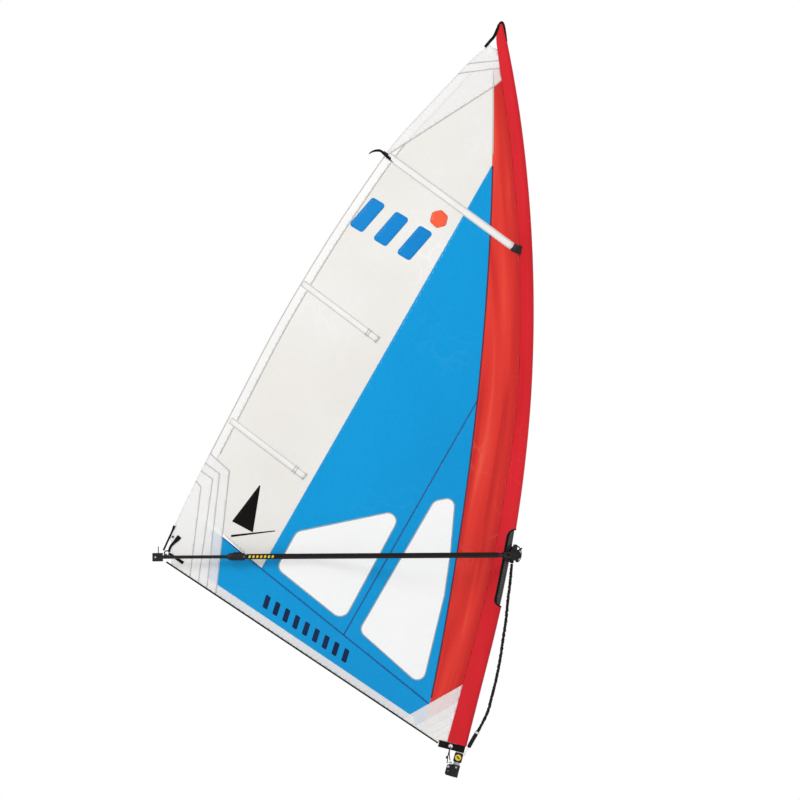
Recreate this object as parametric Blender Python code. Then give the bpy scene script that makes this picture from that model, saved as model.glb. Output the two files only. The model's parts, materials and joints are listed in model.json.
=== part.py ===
# Windsurf sail rig: mast foot, mast, luff sleeve and sail panels, boom, uphaul and trim lines.
# Metres, +Z up, +X towards the mast (forward), Y across. The boom is horizontal and the mast leans forward.
# The origin is the centre of the mast foot's lower face, on the mast's axis.
import math

import bmesh
import bpy
import numpy as np
from mathutils import Matrix, Vector

GAP = 0.0003
Y_AXIS = Vector((0.0, 1.0, 0.0))

# Mast: straight above the foot, then bent aft on one circle. s is the length along it from the foot.
MAST_LEAN = math.radians(14.3)
MAST_STRAIGHT = 0.82
MAST_BEND_RADIUS = 8.76
MAST_START = 0.155
MAST_JOIN = 2.50
MAST_END = 4.745
MAST_RADIUS = 0.0245
MAST_TIP_RADIUS = 0.0125
MAST_WALL = 0.003
MAST_STATIONS = [0.155, 0.5, 0.82, 0.94, 1.06, 1.18, 1.30, 1.42, 1.54, 1.66, 1.78, 2.02, 2.26, 2.50]
UPPER_STATIONS = [2.50, 2.74, 2.98, 3.22, 3.46, 3.70, 3.94, 4.18, 4.42, 4.60, 4.70, 4.745]

# Luff sleeve: a teardrop round the mast, open for the boom.
SLEEVE_START = 0.2035
SLEEVE_STATIONS = [SLEEVE_START] + MAST_STATIONS[1:] + UPPER_STATIONS[1:-1] + [4.765]
SLEEVE_CLEARANCE = 0.002
SLEEVE_WALL = 0.001
SLEEVE_DEPTHS = [(0.2, 0.110), (1.65, 0.110), (3.0, 0.080), (4.42, 0.078), (4.60, 0.068), (4.70, 0.048), (4.765, 0.040)]
CUT_OUT_LOW = 1.145
CUT_OUT_HIGH = 1.53
CUT_OUT_BACK = -0.034
CUT_OUT_FRONT = 0.0305
BINDING_INSET = 0.0034
BINDING_PROUD = 0.0020

# Sail plan, as (x, z).
LEECH = [(0.240, 4.588), (0.111, 4.481), (-0.1265, 4.231), (-0.3575, 3.981), (-0.539, 3.731), (-0.789, 3.356),
         (-1.089, 2.856), (-1.351, 2.356), (-1.6075, 1.856), (-1.806, 1.440)]
FOOT_AFT = Vector((-1.6325, 0.0, 1.2312))
FOOT_FORE = Vector((-0.1325, 0.0, 0.2312))
CLEW_X = -1.764
BINDING_START_X = -1.800
BINDING_WIDTH = 0.009
LEECH_TAPE_WIDTH = 0.060
STRIPE_TOP = (0.2425, 3.825)
BAND_AFT_TOP = (-1.445, 1.500)
BAND_FORE_TOP = (-0.1510, 0.456)
BAND_AFT_LOW = (-1.486, 1.210)
BAND_FORE_LOW = (-0.276, 0.394)
CHEVRON_LEECH_Z = 2.022
CHEVRON_CORNER = (-1.399, 1.914)
DIAGONAL_TOP = (0.1515, 2.356)
TACK_FORE_TOP = (0.061, 0.5775)
STRIPE_FOOT_X = -1.2075
DIAGONAL_FOOT_X = -0.6856
WINDOW_AFT = [(-0.314, 1.669, 0.05), (-0.976, 1.531, 0.06), (-1.101, 1.306, 0.05), (-0.689, 0.975, 0.06)]
WINDOW_FORE = [(0.010, 1.748, 0.045), (-0.118, 1.722, 0.06), (-0.586, 0.914, 0.05), (-0.200, 0.585, 0.05),
               (-0.0575, 1.1375, 0.0), (-0.020, 1.400, 0.0)]
CAMBER = 0.045
CAMBER_EDGE = 0.35
GRID = 0.30
CLOTH = 0.0008
SEAM = 0.0003

# Battens: leech end, fore end, pocket width.
BATTENS = {
    "top": ((-0.408, 3.885), (0.372, 3.3138), 0.048),
    "mid": ((-0.940, 3.086), (-0.470, 2.731), 0.044),
    "low": ((-1.392, 2.230), (-0.926, 1.875), 0.044),
}
BATTEN_WIDTH = 0.022
BATTEN_THICKNESS = 0.003

# Boom: pivots on a bar across the front of the mast. Lengths are from that bar.
BOOM_STATION = 1.4365
BOOM_BAR_OFFSET = 0.0505
BOOM_DROOP = math.radians(-0.37)
ARM_RADIUS = 0.014
ARM_WALL = 0.0015
ARM_START = -0.030
ARM_START_Y = 0.075
ARM_WIDEST = -0.63
ARM_WIDEST_Y = 0.245
ARM_PARALLEL = -1.33
ARM_PARALLEL_Y = 0.075
ARM_END = -1.783
GRIP_RADIUS = 0.017
GRIP_START = -0.105
GRIP_END = -1.673
TAIL_RADIUS = 0.0105
TAIL_START = -1.383
TAIL_BEND_START = -2.200
TAIL_BEND_DEPTH = 0.049
ELBOW_RADIUS = 0.034

# Boom head, about the mast's axis at the boom: x forward of it, z along it.
CLAMP_BORE = MAST_RADIUS + 0.0011
CLAMP_RADIUS = 0.0335
CLAMP_HALF_HEIGHT = 0.050
LEVER_PIN = (0.049, 0.058)

# Mast foot, about the mast's axis: x forward of it, z up it.
FOOT_RADIUS = 0.026
FOOT_TOP = 0.078
TUBE_RADIUS = 0.0200
TUBE_START = 0.040
TUBE_END = 0.52
SOCKET_RADIUS = 0.0085
SOCKET_DEPTH = 0.030
SHEAVES = {"upper": (-0.043, 0.056), "lower": (-0.041, 0.029)}
SHEAVE_RADIUS = 0.0115
COLLAR_START = 0.095
COLLAR_END = 0.1545
BUTTON_HEIGHT = 0.124
BUTTON_RADIUS = 0.0195
ROPE_RADIUS = 0.0025
TACK_RING = (-0.0632, 0.183)

UPHAUL_RADIUS = 0.0075
UPHAUL_ROUTE = [(0.3668, 1.3336), (0.3635, 1.300), (0.359, 1.253), (0.353, 1.190), (0.344, 1.125), (0.336, 1.045),
                (0.3275, 0.966), (0.311, 0.856), (0.2925, 0.731), (0.2675, 0.606), (0.236, 0.481), (0.220, 0.419),
                (0.1925, 0.356), (0.1560, 0.2885)]
UPHAUL_HANDLE = [(0.1555, 0.2878), (0.136, 0.256), (0.115, 0.220), (0.095, 0.183)]
UPHAUL_TAIL = [(0.0948, 0.1826), (0.083, 0.163), (0.0735, 0.146), (0.0662, 0.130)]


def mast_angle(s):
    return -MAST_LEAN + max(0.0, s - MAST_STRAIGHT) / MAST_BEND_RADIUS


def forward(s):
    return Vector((math.cos(mast_angle(s)), 0.0, math.sin(mast_angle(s))))


def along(s):
    return Vector((-math.sin(mast_angle(s)), 0.0, math.cos(mast_angle(s))))


BEND_CENTRE = along(0.0) * MAST_STRAIGHT - forward(0.0) * MAST_BEND_RADIUS


def mast_point(s):
    if s <= MAST_STRAIGHT:
        return along(0.0) * s
    return BEND_CENTRE + forward(s) * MAST_BEND_RADIUS


def place(s, ahead, across=0.0):
    return mast_point(s) + forward(s) * ahead + Y_AXIS * across


def frame_at(s):
    axes = Matrix((forward(s), Y_AXIS, along(s))).transposed().to_4x4()
    return Matrix.Translation(mast_point(s)) @ axes


FOOT_FRAME = frame_at(0.0)
HEAD_FRAME = frame_at(BOOM_STATION)
BOOM_PIVOT = place(BOOM_STATION, BOOM_BAR_OFFSET)
BOOM_FRAME = Matrix.Translation(BOOM_PIVOT) @ Matrix.Rotation(BOOM_DROOP, 4, "Y")
ALONG_Y = Matrix.Rotation(math.radians(-90), 4, "X")
ALONG_X = Matrix.Rotation(math.radians(90), 4, "Y")


def material(name, colour, roughness, metallic, alpha):
    mat = bpy.data.materials.new(name)
    mat.use_nodes = True
    mat.diffuse_color = (*colour, alpha)
    shader = mat.node_tree.nodes["Principled BSDF"]
    shader.inputs["Base Color"].default_value = (*colour, 1.0)
    shader.inputs["Roughness"].default_value = roughness
    shader.inputs["Metallic"].default_value = metallic
    shader.inputs["Alpha"].default_value = alpha
    return mat


FINISHES = {
    "black_plastic": ((0.02, 0.02, 0.022), 0.45, 0.0, 1.0),
    "carbon": ((0.03, 0.03, 0.032), 0.35, 0.0, 1.0),
    "alloy": ((0.60, 0.61, 0.62), 0.35, 0.9, 1.0),
    "steel": ((0.75, 0.75, 0.76), 0.25, 1.0, 1.0),
    "grip": ((0.03, 0.028, 0.03), 0.85, 0.0, 1.0),
    "red_cloth": ((0.66, 0.012, 0.025), 0.7, 0.0, 1.0),
    "red_film": ((0.75, 0.03, 0.02), 0.25, 0.0, 1.0),
    "blue_film": ((0.0, 0.31, 0.71), 0.3, 0.0, 1.0),
    "white_cloth": ((0.86, 0.85, 0.83), 0.6, 0.0, 1.0),
    "window_film": ((0.90, 0.91, 0.91), 0.08, 0.0, 0.4),
    "webbing": ((0.015, 0.015, 0.015), 0.85, 0.0, 1.0),
    "rope": ((0.012, 0.012, 0.012), 0.9, 0.0, 1.0),
    "white_cord": ((0.80, 0.80, 0.78), 0.8, 0.0, 1.0),
    "yellow_plastic": ((0.85, 0.72, 0.12), 0.4, 0.0, 1.0),
    "fibreglass": ((0.75, 0.76, 0.70), 0.4, 0.0, 1.0),
}


def finish(obj, name):
    obj.data.materials.clear()
    obj.data.materials.append(material(obj.name, *FINISHES[name]))
    return obj


def add(name, bm, finish_name, frame=None, smooth=30):
    bmesh.ops.recalc_face_normals(bm, faces=bm.faces)
    mesh = bpy.data.meshes.new(name)
    bm.to_mesh(mesh)
    bm.free()
    if frame is not None:
        mesh.transform(frame)
    mesh.shade_smooth()
    mesh.set_sharp_from_angle(angle=math.radians(smooth))
    obj = bpy.data.objects.new(name, mesh)
    bpy.context.scene.collection.objects.link(obj)
    return finish(obj, finish_name)


def settle(obj):
    # Applies the object's modifiers.
    bpy.context.view_layer.update()
    evaluated = obj.evaluated_get(bpy.context.evaluated_depsgraph_get())
    mesh = bpy.data.meshes.new_from_object(evaluated)
    obj.modifiers.clear()
    obj.data = mesh


def combine(obj, operation, *others):
    # Boolean with each other object in turn; the others are used up.
    for other in others:
        modifier = obj.modifiers.new("cut", "BOOLEAN")
        modifier.operation = operation
        modifier.solver = "EXACT"
        modifier.object = other
        settle(obj)
        bpy.data.objects.remove(other)
    slot = obj.data.materials[0]
    obj.data.materials.clear()
    obj.data.materials.append(slot)
    return obj


def bevelled(obj, width, segments=2, angle=40):
    modifier = obj.modifiers.new("edges", "BEVEL")
    modifier.width = width
    modifier.segments = segments
    modifier.limit_method = "ANGLE"
    modifier.angle_limit = math.radians(angle)
    settle(obj)
    return obj


def turned(name, profile, finish_name, frame=None, sides=24, ring=False, sweep=360):
    # Turns a profile of (radius, height) about Z; a ring's profile is a closed loop.
    bm = bmesh.new()
    verts = [bm.verts.new((radius, 0.0, height)) for radius, height in profile]
    pairs = list(zip(verts, verts[1:]))
    if ring:
        pairs.append((verts[-1], verts[0]))
    edges = [bm.edges.new(pair) for pair in pairs]
    if sweep < 360:
        face = bm.faces.new(verts)
        swept = [face, *verts, *edges]
        bmesh.ops.rotate(bm, verts=verts, cent=(0, 0, 0), matrix=Matrix.Rotation(math.radians(-sweep / 2), 3, "Z"))
        bmesh.ops.spin(bm, geom=swept, cent=(0, 0, 0), axis=(0, 0, 1), angle=math.radians(sweep), steps=sides)
        bm.faces.ensure_lookup_table()
    else:
        bmesh.ops.spin(bm, geom=verts + edges, cent=(0, 0, 0), axis=(0, 0, 1), angle=math.tau, steps=sides)
        bmesh.ops.remove_doubles(bm, verts=bm.verts, dist=1e-6)
    return add(name, bm, finish_name, frame)


def rod(name, radius, low, high, finish_name, frame=None, sides=20):
    return turned(name, [(0.0, high), (radius, high), (radius, low), (0.0, low)], finish_name, frame, sides)


def box(name, low, high, finish_name, frame=None):
    bm = bmesh.new()
    bmesh.ops.create_cube(bm, size=1.0)
    size = Vector(high) - Vector(low)
    bmesh.ops.scale(bm, vec=size, verts=bm.verts)
    bmesh.ops.translate(bm, vec=Vector(low) + size / 2, verts=bm.verts)
    return add(name, bm, finish_name, frame)


def prism(name, outline, low, high, finish_name, frame=None, axis="Y"):
    # An outline of (x, z) carried along Y, or of (x, y) carried along Z.
    bm = bmesh.new()
    if axis == "Y":
        verts = [bm.verts.new((a, low, b)) for a, b in outline]
        step = (0.0, high - low, 0.0)
    else:
        verts = [bm.verts.new((a, b, low)) for a, b in outline]
        step = (0.0, 0.0, high - low)
    face = bm.faces.new(verts)
    moved = bmesh.ops.extrude_face_region(bm, geom=[face])["geom"]
    bmesh.ops.translate(bm, vec=step, verts=[v for v in moved if isinstance(v, bmesh.types.BMVert)])
    return add(name, bm, finish_name, frame)


def loft(name, rings, finish_name, closed=False, frame=None):
    # Bridges rings of equal length in turn; a closed loft joins the last to the first, an open one is capped.
    bm = bmesh.new()
    made = [[bm.verts.new(point) for point in ring] for ring in rings]
    count = len(made[0])
    pairs = list(zip(made, made[1:]))
    if closed:
        pairs.append((made[-1], made[0]))
    else:
        bm.faces.new(made[0])
        bm.faces.new(made[-1])
    for near, far in pairs:
        for i in range(count):
            j = (i + 1) % count
            bm.faces.new((near[i], near[j], far[j], far[i]))
    return add(name, bm, finish_name, frame)


def smooth_curve(points, steps):
    # A Catmull-Rom curve through the points, with this many steps between each two.
    points = [Vector(p) for p in points]
    ends = [points[0] * 2 - points[1], *points, points[-1] * 2 - points[-2]]
    curve = []
    for p0, p1, p2, p3 in zip(ends, ends[1:], ends[2:], ends[3:]):
        for i in range(steps):
            t = i / steps
            curve.append(0.5 * (2 * p1 + (p2 - p0) * t + (2 * p0 - 5 * p1 + 4 * p2 - p3) * t * t
                                + (3 * p1 - p0 - 3 * p2 + p3) * t ** 3))
    return [*curve, points[-1]]


def cord(name, points, radius, finish_name, frame=None, steps=4, sides=2):
    curve = bpy.data.curves.new(name, "CURVE")
    curve.dimensions = "3D"
    curve.bevel_depth = radius
    curve.bevel_resolution = sides
    curve.use_fill_caps = True
    curve.render_resolution_u = 0
    spline = curve.splines.new("POLY")
    route = smooth_curve(points, steps)
    spline.points.add(len(route) - 1)
    for target, point in zip(spline.points, route):
        target.co = (*(frame @ point if frame is not None else point), 1.0)
    obj = bpy.data.objects.new(name, curve)
    bpy.context.scene.collection.objects.link(obj)
    return finish(obj, finish_name)


def circle_ring(point, tangent, side, radius, sides):
    normal = tangent.cross(side).normalized()
    return [point + side * (radius * math.cos(math.tau * i / sides)) + normal * (radius * math.sin(math.tau * i / sides))
            for i in range(sides)]


def pipe(name, path, radii, wall, side, finish_name, sides=16, frame=None):
    # A round tube along a flat path; side is the path's normal. With no wall it is solid.
    tangents = []
    for i in range(len(path)):
        ahead = path[min(i + 1, len(path) - 1)] - path[max(i - 1, 0)]
        tangents.append(ahead.normalized())
    outer = [circle_ring(p, t, side, r, sides) for p, t, r in zip(path, tangents, radii)]
    if not wall:
        return loft(name, outer, finish_name, frame=frame)
    inner = [circle_ring(p, t, side, r - wall, sides) for p, t, r in zip(path, tangents, radii)]
    return loft(name, outer + inner[::-1], finish_name, closed=True, frame=frame)


def line_value(table, s):
    return float(np.interp(s, [row[0] for row in table], [row[1] for row in table]))


def mast_radius(s):
    return line_value([(2.4, MAST_RADIUS), (MAST_END, MAST_TIP_RADIUS)], s)


# Mast foot

def foot_housing():
    body = rod("foot_housing", FOOT_RADIUS, 0.0, FOOT_TOP, "black_plastic", FOOT_FRAME, 24)
    outline = [(-0.058, 0.012), (-0.050, 0.002), (0.0, 0.0005), (0.0, 0.0765), (-0.040, 0.0745), (-0.056, 0.066)]
    combine(body, "UNION", prism("block", outline, -0.019, 0.019, "black_plastic", FOOT_FRAME))
    bevelled(body, 0.0015, 1, 50)
    cutters = [box("slot", (-0.070, -0.0075, 0.013), (-0.0275, 0.0075, 0.090), "steel", FOOT_FRAME)]
    for ahead, up in SHEAVES.values():
        frame = FOOT_FRAME @ Matrix.Translation((ahead, 0.0, up)) @ ALONG_Y
        cutters.append(rod("pin_hole", 0.0034, -0.030, 0.030, "steel", frame, 12))
    cutters.append(rod("tube_bore", TUBE_RADIUS + GAP, TUBE_START - GAP, 0.090, "steel", FOOT_FRAME, 24))
    cutters.append(rod("socket", SOCKET_RADIUS, -0.010, SOCKET_DEPTH, "steel", FOOT_FRAME, 16))
    combine(body, "DIFFERENCE", *cutters)


def foot_sheaves():
    for name, (ahead, up) in SHEAVES.items():
        profile = [(0.0, 0.0185), (0.003, 0.0185), (0.003, 0.0062), (SHEAVE_RADIUS, 0.0062), (SHEAVE_RADIUS, 0.0050),
                   (0.0080, 0.0), (SHEAVE_RADIUS, -0.0050), (SHEAVE_RADIUS, -0.0062), (0.003, -0.0062),
                   (0.003, -0.0185), (0.0, -0.0185)]
        turned(f"foot_sheave_{name}", profile, "alloy", FOOT_FRAME @ Matrix.Translation((ahead, 0.0, up)) @ ALONG_Y, 12)


def extension_tube():
    inner = TUBE_RADIUS - 0.0025
    profile = [(TUBE_RADIUS, TUBE_END), (TUBE_RADIUS, TUBE_START), (inner, TUBE_START), (inner, TUBE_END)]
    turned("extension_tube", profile, "alloy", FOOT_FRAME, 24, ring=True)


def rope_cleat():
    outline = [(-0.0515, 0.0785), (-0.0285, 0.0785), (-0.0285, 0.0855), (-0.0350, 0.0905), (-0.0515, 0.0835)]
    body = prism("downhaul_cleat", outline, -0.010, 0.010, "alloy", FOOT_FRAME)
    bevelled(body, 0.0008, 1)


def mast_collar():
    body = box("mast_collar", (-0.0265, -0.034, COLLAR_START), (0.0275, 0.0265, COLLAR_END), "black_plastic", FOOT_FRAME)
    bevelled(body, 0.007, 2)
    button = FOOT_FRAME @ Matrix.Translation((0.0, 0.0, BUTTON_HEIGHT)) @ ALONG_Y
    pocket = rod("pocket", BUTTON_RADIUS + GAP, -0.050, -0.0264, "steel", button, 24)
    bore = rod("bore", TUBE_RADIUS + GAP, 0.050, 0.20, "steel", FOOT_FRAME, 24)
    combine(body, "DIFFERENCE", bore, pocket)
    profile = [(0.0, -0.0306), (BUTTON_RADIUS, -0.0306), (BUTTON_RADIUS, -0.0370), (0.0175, -0.0385), (0.0060, -0.0385),
               (0.0045, -0.0372), (0.0, -0.0372)]
    turned("collar_button", profile, "yellow_plastic", button, 24)


def downhaul_line():
    ahead, up = TACK_RING
    route = [(-0.0575, 0.0, 0.0720), (-0.0610, -0.003, 0.092), (-0.0640, -0.007, 0.116), (-0.0650, -0.0095, 0.150),
             (ahead - 0.0015, -0.0090, up - 0.0130), (ahead - 0.0005, -0.0055, up - 0.0035), (ahead, 0.0, up - 0.0015),
             (ahead - 0.0005, 0.0055, up - 0.0035), (ahead - 0.0015, 0.0090, up - 0.0130), (-0.0620, 0.009, 0.145),
             (-0.0520, 0.006, 0.112), (-0.0440, 0.002, 0.0940)]
    cord("downhaul_line", route, ROPE_RADIUS, "rope", FOOT_FRAME, steps=2)


# Mast

def mast_tube(name, stations):
    path = [mast_point(s) for s in stations]
    pipe(name, path, [mast_radius(s) for s in stations], MAST_WALL, Y_AXIS, "carbon", 12)


def mast():
    mast_tube("mast_bottom", MAST_STATIONS[:-1] + [MAST_JOIN - 0.0005])
    mast_tube("mast_top", [MAST_JOIN + 0.0005] + UPPER_STATIONS[1:])
    inner = [2.26, 2.50, 2.74]
    radii = [mast_radius(s) - MAST_WALL - 0.0006 for s in inner]
    pipe("mast_ferrule", [mast_point(s) for s in inner], radii, 0.002, Y_AXIS, "carbon", 12)
    end = frame_at(MAST_END)
    throat = mast_radius(MAST_END) - MAST_WALL - 0.0008
    profile = [(0.0, 0.011), (0.006, 0.0095), (0.010, 0.0055), (0.0118, GAP), (throat, GAP), (throat, -0.035), (0.0, -0.035)]
    turned("mast_tip_plug", profile, "black_plastic", end, 16)


# Luff sleeve

def sleeve_radius(s):
    return mast_radius(s) + SLEEVE_CLEARANCE + SLEEVE_WALL


def sleeve_aft(s):
    return line_value(SLEEVE_DEPTHS, s) - sleeve_radius(s)


def teardrop(s, inset, tail=None):
    # A circle round the mast, and its tangents to a blunt aft edge.
    radius = sleeve_radius(s) - inset
    reach = (sleeve_aft(s) if tail is None else tail) * radius / sleeve_radius(s)
    turn = math.pi - math.acos(radius / reach)
    steps = 8
    arc = [turn * (2 * i / steps - 1) for i in range(steps + 1)]
    ring = [place(s, radius * math.cos(a), radius * math.sin(a)) for a in arc]
    edge = 0.0005 * radius / sleeve_radius(s)
    return [*ring, place(s, -reach, edge), place(s, -reach, -edge)]


def cut_edge(inset):
    # The cut-out's edge as (ahead, s), from its upper front to its lower front.
    depth = CUT_OUT_FRONT - CUT_OUT_BACK - inset
    back = CUT_OUT_BACK + inset
    turns = [math.radians(a) for a in (90, 86, 82, 76, 68, 58, 45, 30, 14, 0)]
    high = [(back + depth * (1 - math.cos(a)), CUT_OUT_HIGH - inset + 0.062 * math.sin(a)) for a in turns]
    low = [(back + depth * (1 - math.cos(a)), CUT_OUT_LOW + inset - 0.040 * math.sin(a)) for a in turns[::-1]]
    straight = [(back, CUT_OUT_HIGH + (CUT_OUT_LOW - CUT_OUT_HIGH) * f) for f in (0.25, 0.5, 0.75)]
    return [*high, *straight, *low]


def on_sleeve(ahead, s, side, proud):
    # A point on the sleeve's side, this far proud of it.
    radius = sleeve_radius(s) + proud
    reach = sleeve_aft(s)
    ahead = min(ahead, radius)
    if ahead < -radius * radius / reach:
        width = (ahead + reach) * radius / math.sqrt(reach * reach - radius * radius)
    else:
        width = math.sqrt(radius * radius - ahead * ahead)
    return place(s, ahead, side * width)


def luff_sleeve():
    stations = [0.2035, *SLEEVE_STATIONS[1:]]
    outer = [teardrop(s, 0.0) for s in stations]
    inner = [teardrop(s, SLEEVE_WALL) for s in stations]
    top = [point + along(4.765) * 0.004 - (point - place(4.765, -0.002)) * 0.35 for point in outer[-1]]
    sleeve = loft("luff_sleeve", inner[::-1] + outer + [top], "red_cloth")
    edge = cut_edge(0.0)
    outline = [place(s, ahead) for ahead, s in edge]
    outline += [place(CUT_OUT_LOW - 0.040, 0.08), place(CUT_OUT_HIGH + 0.062, 0.08)]
    combine(sleeve, "DIFFERENCE", prism("cut", [(p.x, p.z) for p in outline], -0.06, 0.06, "red_cloth"))
    near = [on_sleeve(ahead, s, -1, BINDING_PROUD) for ahead, s in cut_edge(BINDING_INSET)]
    far = [on_sleeve(ahead, s, 1, BINDING_PROUD) for ahead, s in cut_edge(BINDING_INSET)]
    curve = bpy.data.curves.new("cutout_binding", "CURVE")
    curve.dimensions = "3D"
    curve.bevel_depth = 0.0024
    curve.bevel_resolution = 1
    curve.render_resolution_u = 0
    loop = near + far[-2:0:-1]
    spline = curve.splines.new("POLY")
    spline.use_cyclic_u = True
    spline.points.add(len(loop) - 1)
    for target, point in zip(spline.points, loop):
        target.co = (*point, 1.0)
    binding = bpy.data.objects.new("cutout_binding", curve)
    bpy.context.scene.collection.objects.link(binding)
    finish(binding, "webbing")


def tack_hem():
    tail = 0.048
    solid = []
    for s in (0.160, SLEEVE_START - GAP):
        ring = teardrop(s, 0.0, tail=tail)[:-2]
        solid.append([*ring, place(s, -tail, 0.002), place(s, -0.140, 0.002), place(s, -0.140, -0.002), place(s, -tail, -0.002)])
    hem = loft("tack_hem", solid, "webbing")
    hollow = [teardrop(s, SLEEVE_WALL, tail=tail) for s in (0.10, 0.30)]
    combine(hem, "DIFFERENCE", loft("hollow", hollow, "webbing"))
    ring_frame = FOOT_FRAME @ Matrix.Translation((TACK_RING[0], 0.0, TACK_RING[1])) @ ALONG_Y
    combine(hem, "DIFFERENCE", rod("eye", 0.0104, -0.02, 0.02, "webbing", ring_frame, 16))
    profile = [(0.0085, 0.0040), (0.0145, 0.0034), (0.0145, 0.0024), (0.0100, 0.0024), (0.0100, -0.0024),
               (0.0145, -0.0024), (0.0145, -0.0034), (0.0085, -0.0040)]
    turned("tack_ring", profile, "steel", ring_frame, 16, ring=True)


def head_webbing():
    aft = [Vector((0.205, 0.0, 4.570)), Vector((0.243, 0.0, 4.604))]
    aft += [place(s, -sleeve_aft(s) - 0.001) for s in (4.70, 4.765)]
    top = [place(4.7715, -0.010), place(4.7715, 0.009)]
    fore = [place(s, sleeve_radius(s) + 0.001) for s in (4.765, 4.70, 4.64)]
    path = [*aft, *top, *fore]
    inner, outer = [], []
    for i, point in enumerate(path):
        tangent = (path[min(i + 1, len(path) - 1)] - path[max(i - 1, 0)]).normalized()
        normal = Vector((-tangent.z, 0.0, tangent.x))
        inner.append(point + normal * GAP)
        outer.append(point + normal * 0.0105)
    outline = [(p.x, p.z) for p in inner + outer[::-1]]
    prism("head_webbing", outline, -0.011, 0.011, "webbing")


# Sail panels

def leech_line(inset, low_z=0.0):
    # The leech from head to clew as (x, z), moved in from the edge.
    curve = smooth_curve([(x, 0.0, z) for x, z in LEECH], 3)
    moved = []
    for i, point in enumerate(curve):
        tangent = (curve[min(i + 1, len(curve) - 1)] - curve[max(i - 1, 0)]).normalized()
        moved.append(point + Vector((-tangent.z, 0.0, tangent.x)) * inset)
    return [(p.x, p.z) for p in moved if p.z > low_z]


def leech_x(z):
    line = leech_line(0.0)[::-1]
    return float(np.interp(z, [p[1] for p in line], [p[0] for p in line]))


def luff_line():
    # The sleeve's aft edge as (x, z), from the foot up.
    points = [place(s, -sleeve_aft(s)) for s in SLEEVE_STATIONS]
    return [(p.x, p.z) for p in points]


LUFF = luff_line()
LEECH_LINE = leech_line(0.0)[::-1]


def luff_x(z):
    return float(np.interp(z, [p[1] for p in LUFF], [p[0] for p in LUFF]))


def seam_x(z):
    return 0.252 - 0.028 * (z - 4.25) ** 2


def foot_height(x, z):
    across = (FOOT_FORE - FOOT_AFT).normalized()
    return (Vector((x, 0.0, z)) - FOOT_AFT).dot(Vector((-across.z, 0.0, across.x)))


def foot_z(x, height):
    # The height above ground of the line this far above the foot's edge.
    slope = (FOOT_FORE.z - FOOT_AFT.z) / (FOOT_FORE.x - FOOT_AFT.x)
    return FOOT_AFT.z + slope * (x - FOOT_AFT.x) + height * math.sqrt(1 + slope * slope)


def camber(x, z):
    # The belly of the sail, none at its three edges.
    aft = float(np.interp(z, [p[1] for p in LEECH_LINE], [p[0] for p in LEECH_LINE]))
    belly = -CAMBER
    for distance in (luff_x(z) - x, 0.85 * (x - aft), foot_height(x, z)):
        belly *= 1 - math.exp(-max(0.0, distance) / CAMBER_EDGE)
    return belly


def shrink(outline, inset):
    # Moves a closed outline's corners inwards.
    points = [Vector((x, z)) for x, z in outline]
    area = sum(a.x * b.y - b.x * a.y for a, b in zip(points, points[1:] + points[:1]))
    sign = 1.0 if area > 0 else -1.0
    moved = []
    for i, point in enumerate(points):
        back = (point - points[i - 1]).normalized()
        ahead = (points[(i + 1) % len(points)] - point).normalized()
        n0 = Vector((-back.y, back.x)) * sign
        n1 = Vector((-ahead.y, ahead.x)) * sign
        middle = (n0 + n1).normalized()
        moved.append(point + middle * (inset / max(0.3, middle.dot(n1))))
    return [(p.x, p.y) for p in moved]


def rounded(corners):
    # A closed outline with each corner of (x, z, radius) rounded by an arc.
    outline = []
    for i, (x, z, radius) in enumerate(corners):
        here = Vector((x, z))
        if not radius:
            outline.append((x, z))
            continue
        back = (Vector(corners[i - 1][:2]) - here).normalized()
        ahead = (Vector(corners[(i + 1) % len(corners)][:2]) - here).normalized()
        half = math.acos(back.dot(ahead)) / 2
        reach = radius / math.tan(half)
        centre = here + (back + ahead).normalized() * (radius / math.sin(half))
        start = here + back * reach - centre
        end = here + ahead * reach - centre
        turn = start.angle_signed(end)
        for k in range(5):
            angle = -turn * k / 4
            outline.append((centre.x + start.x * math.cos(angle) - start.y * math.sin(angle),
                            centre.y + start.x * math.sin(angle) + start.y * math.cos(angle)))
    return outline


def band_point(x):
    # On the upper edge of the blue band along the foot.
    (x0, z0), (x1, z1) = BAND_AFT_TOP, BAND_FORE_TOP
    return (x, z0 + (z1 - z0) * (x - x0) / (x1 - x0))


STRIPE_FOOT = band_point(STRIPE_FOOT_X)
DIAGONAL_FOOT = band_point(DIAGONAL_FOOT_X)


def on_grid(edge):
    a, b = (v.co for v in edge.verts)
    for i in (0, 2):
        line = round(a[i] / GRID) * GRID
        if abs(a[i] - line) < 1e-5 and abs(b[i] - line) < 1e-5:
            return True
    return False


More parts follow.
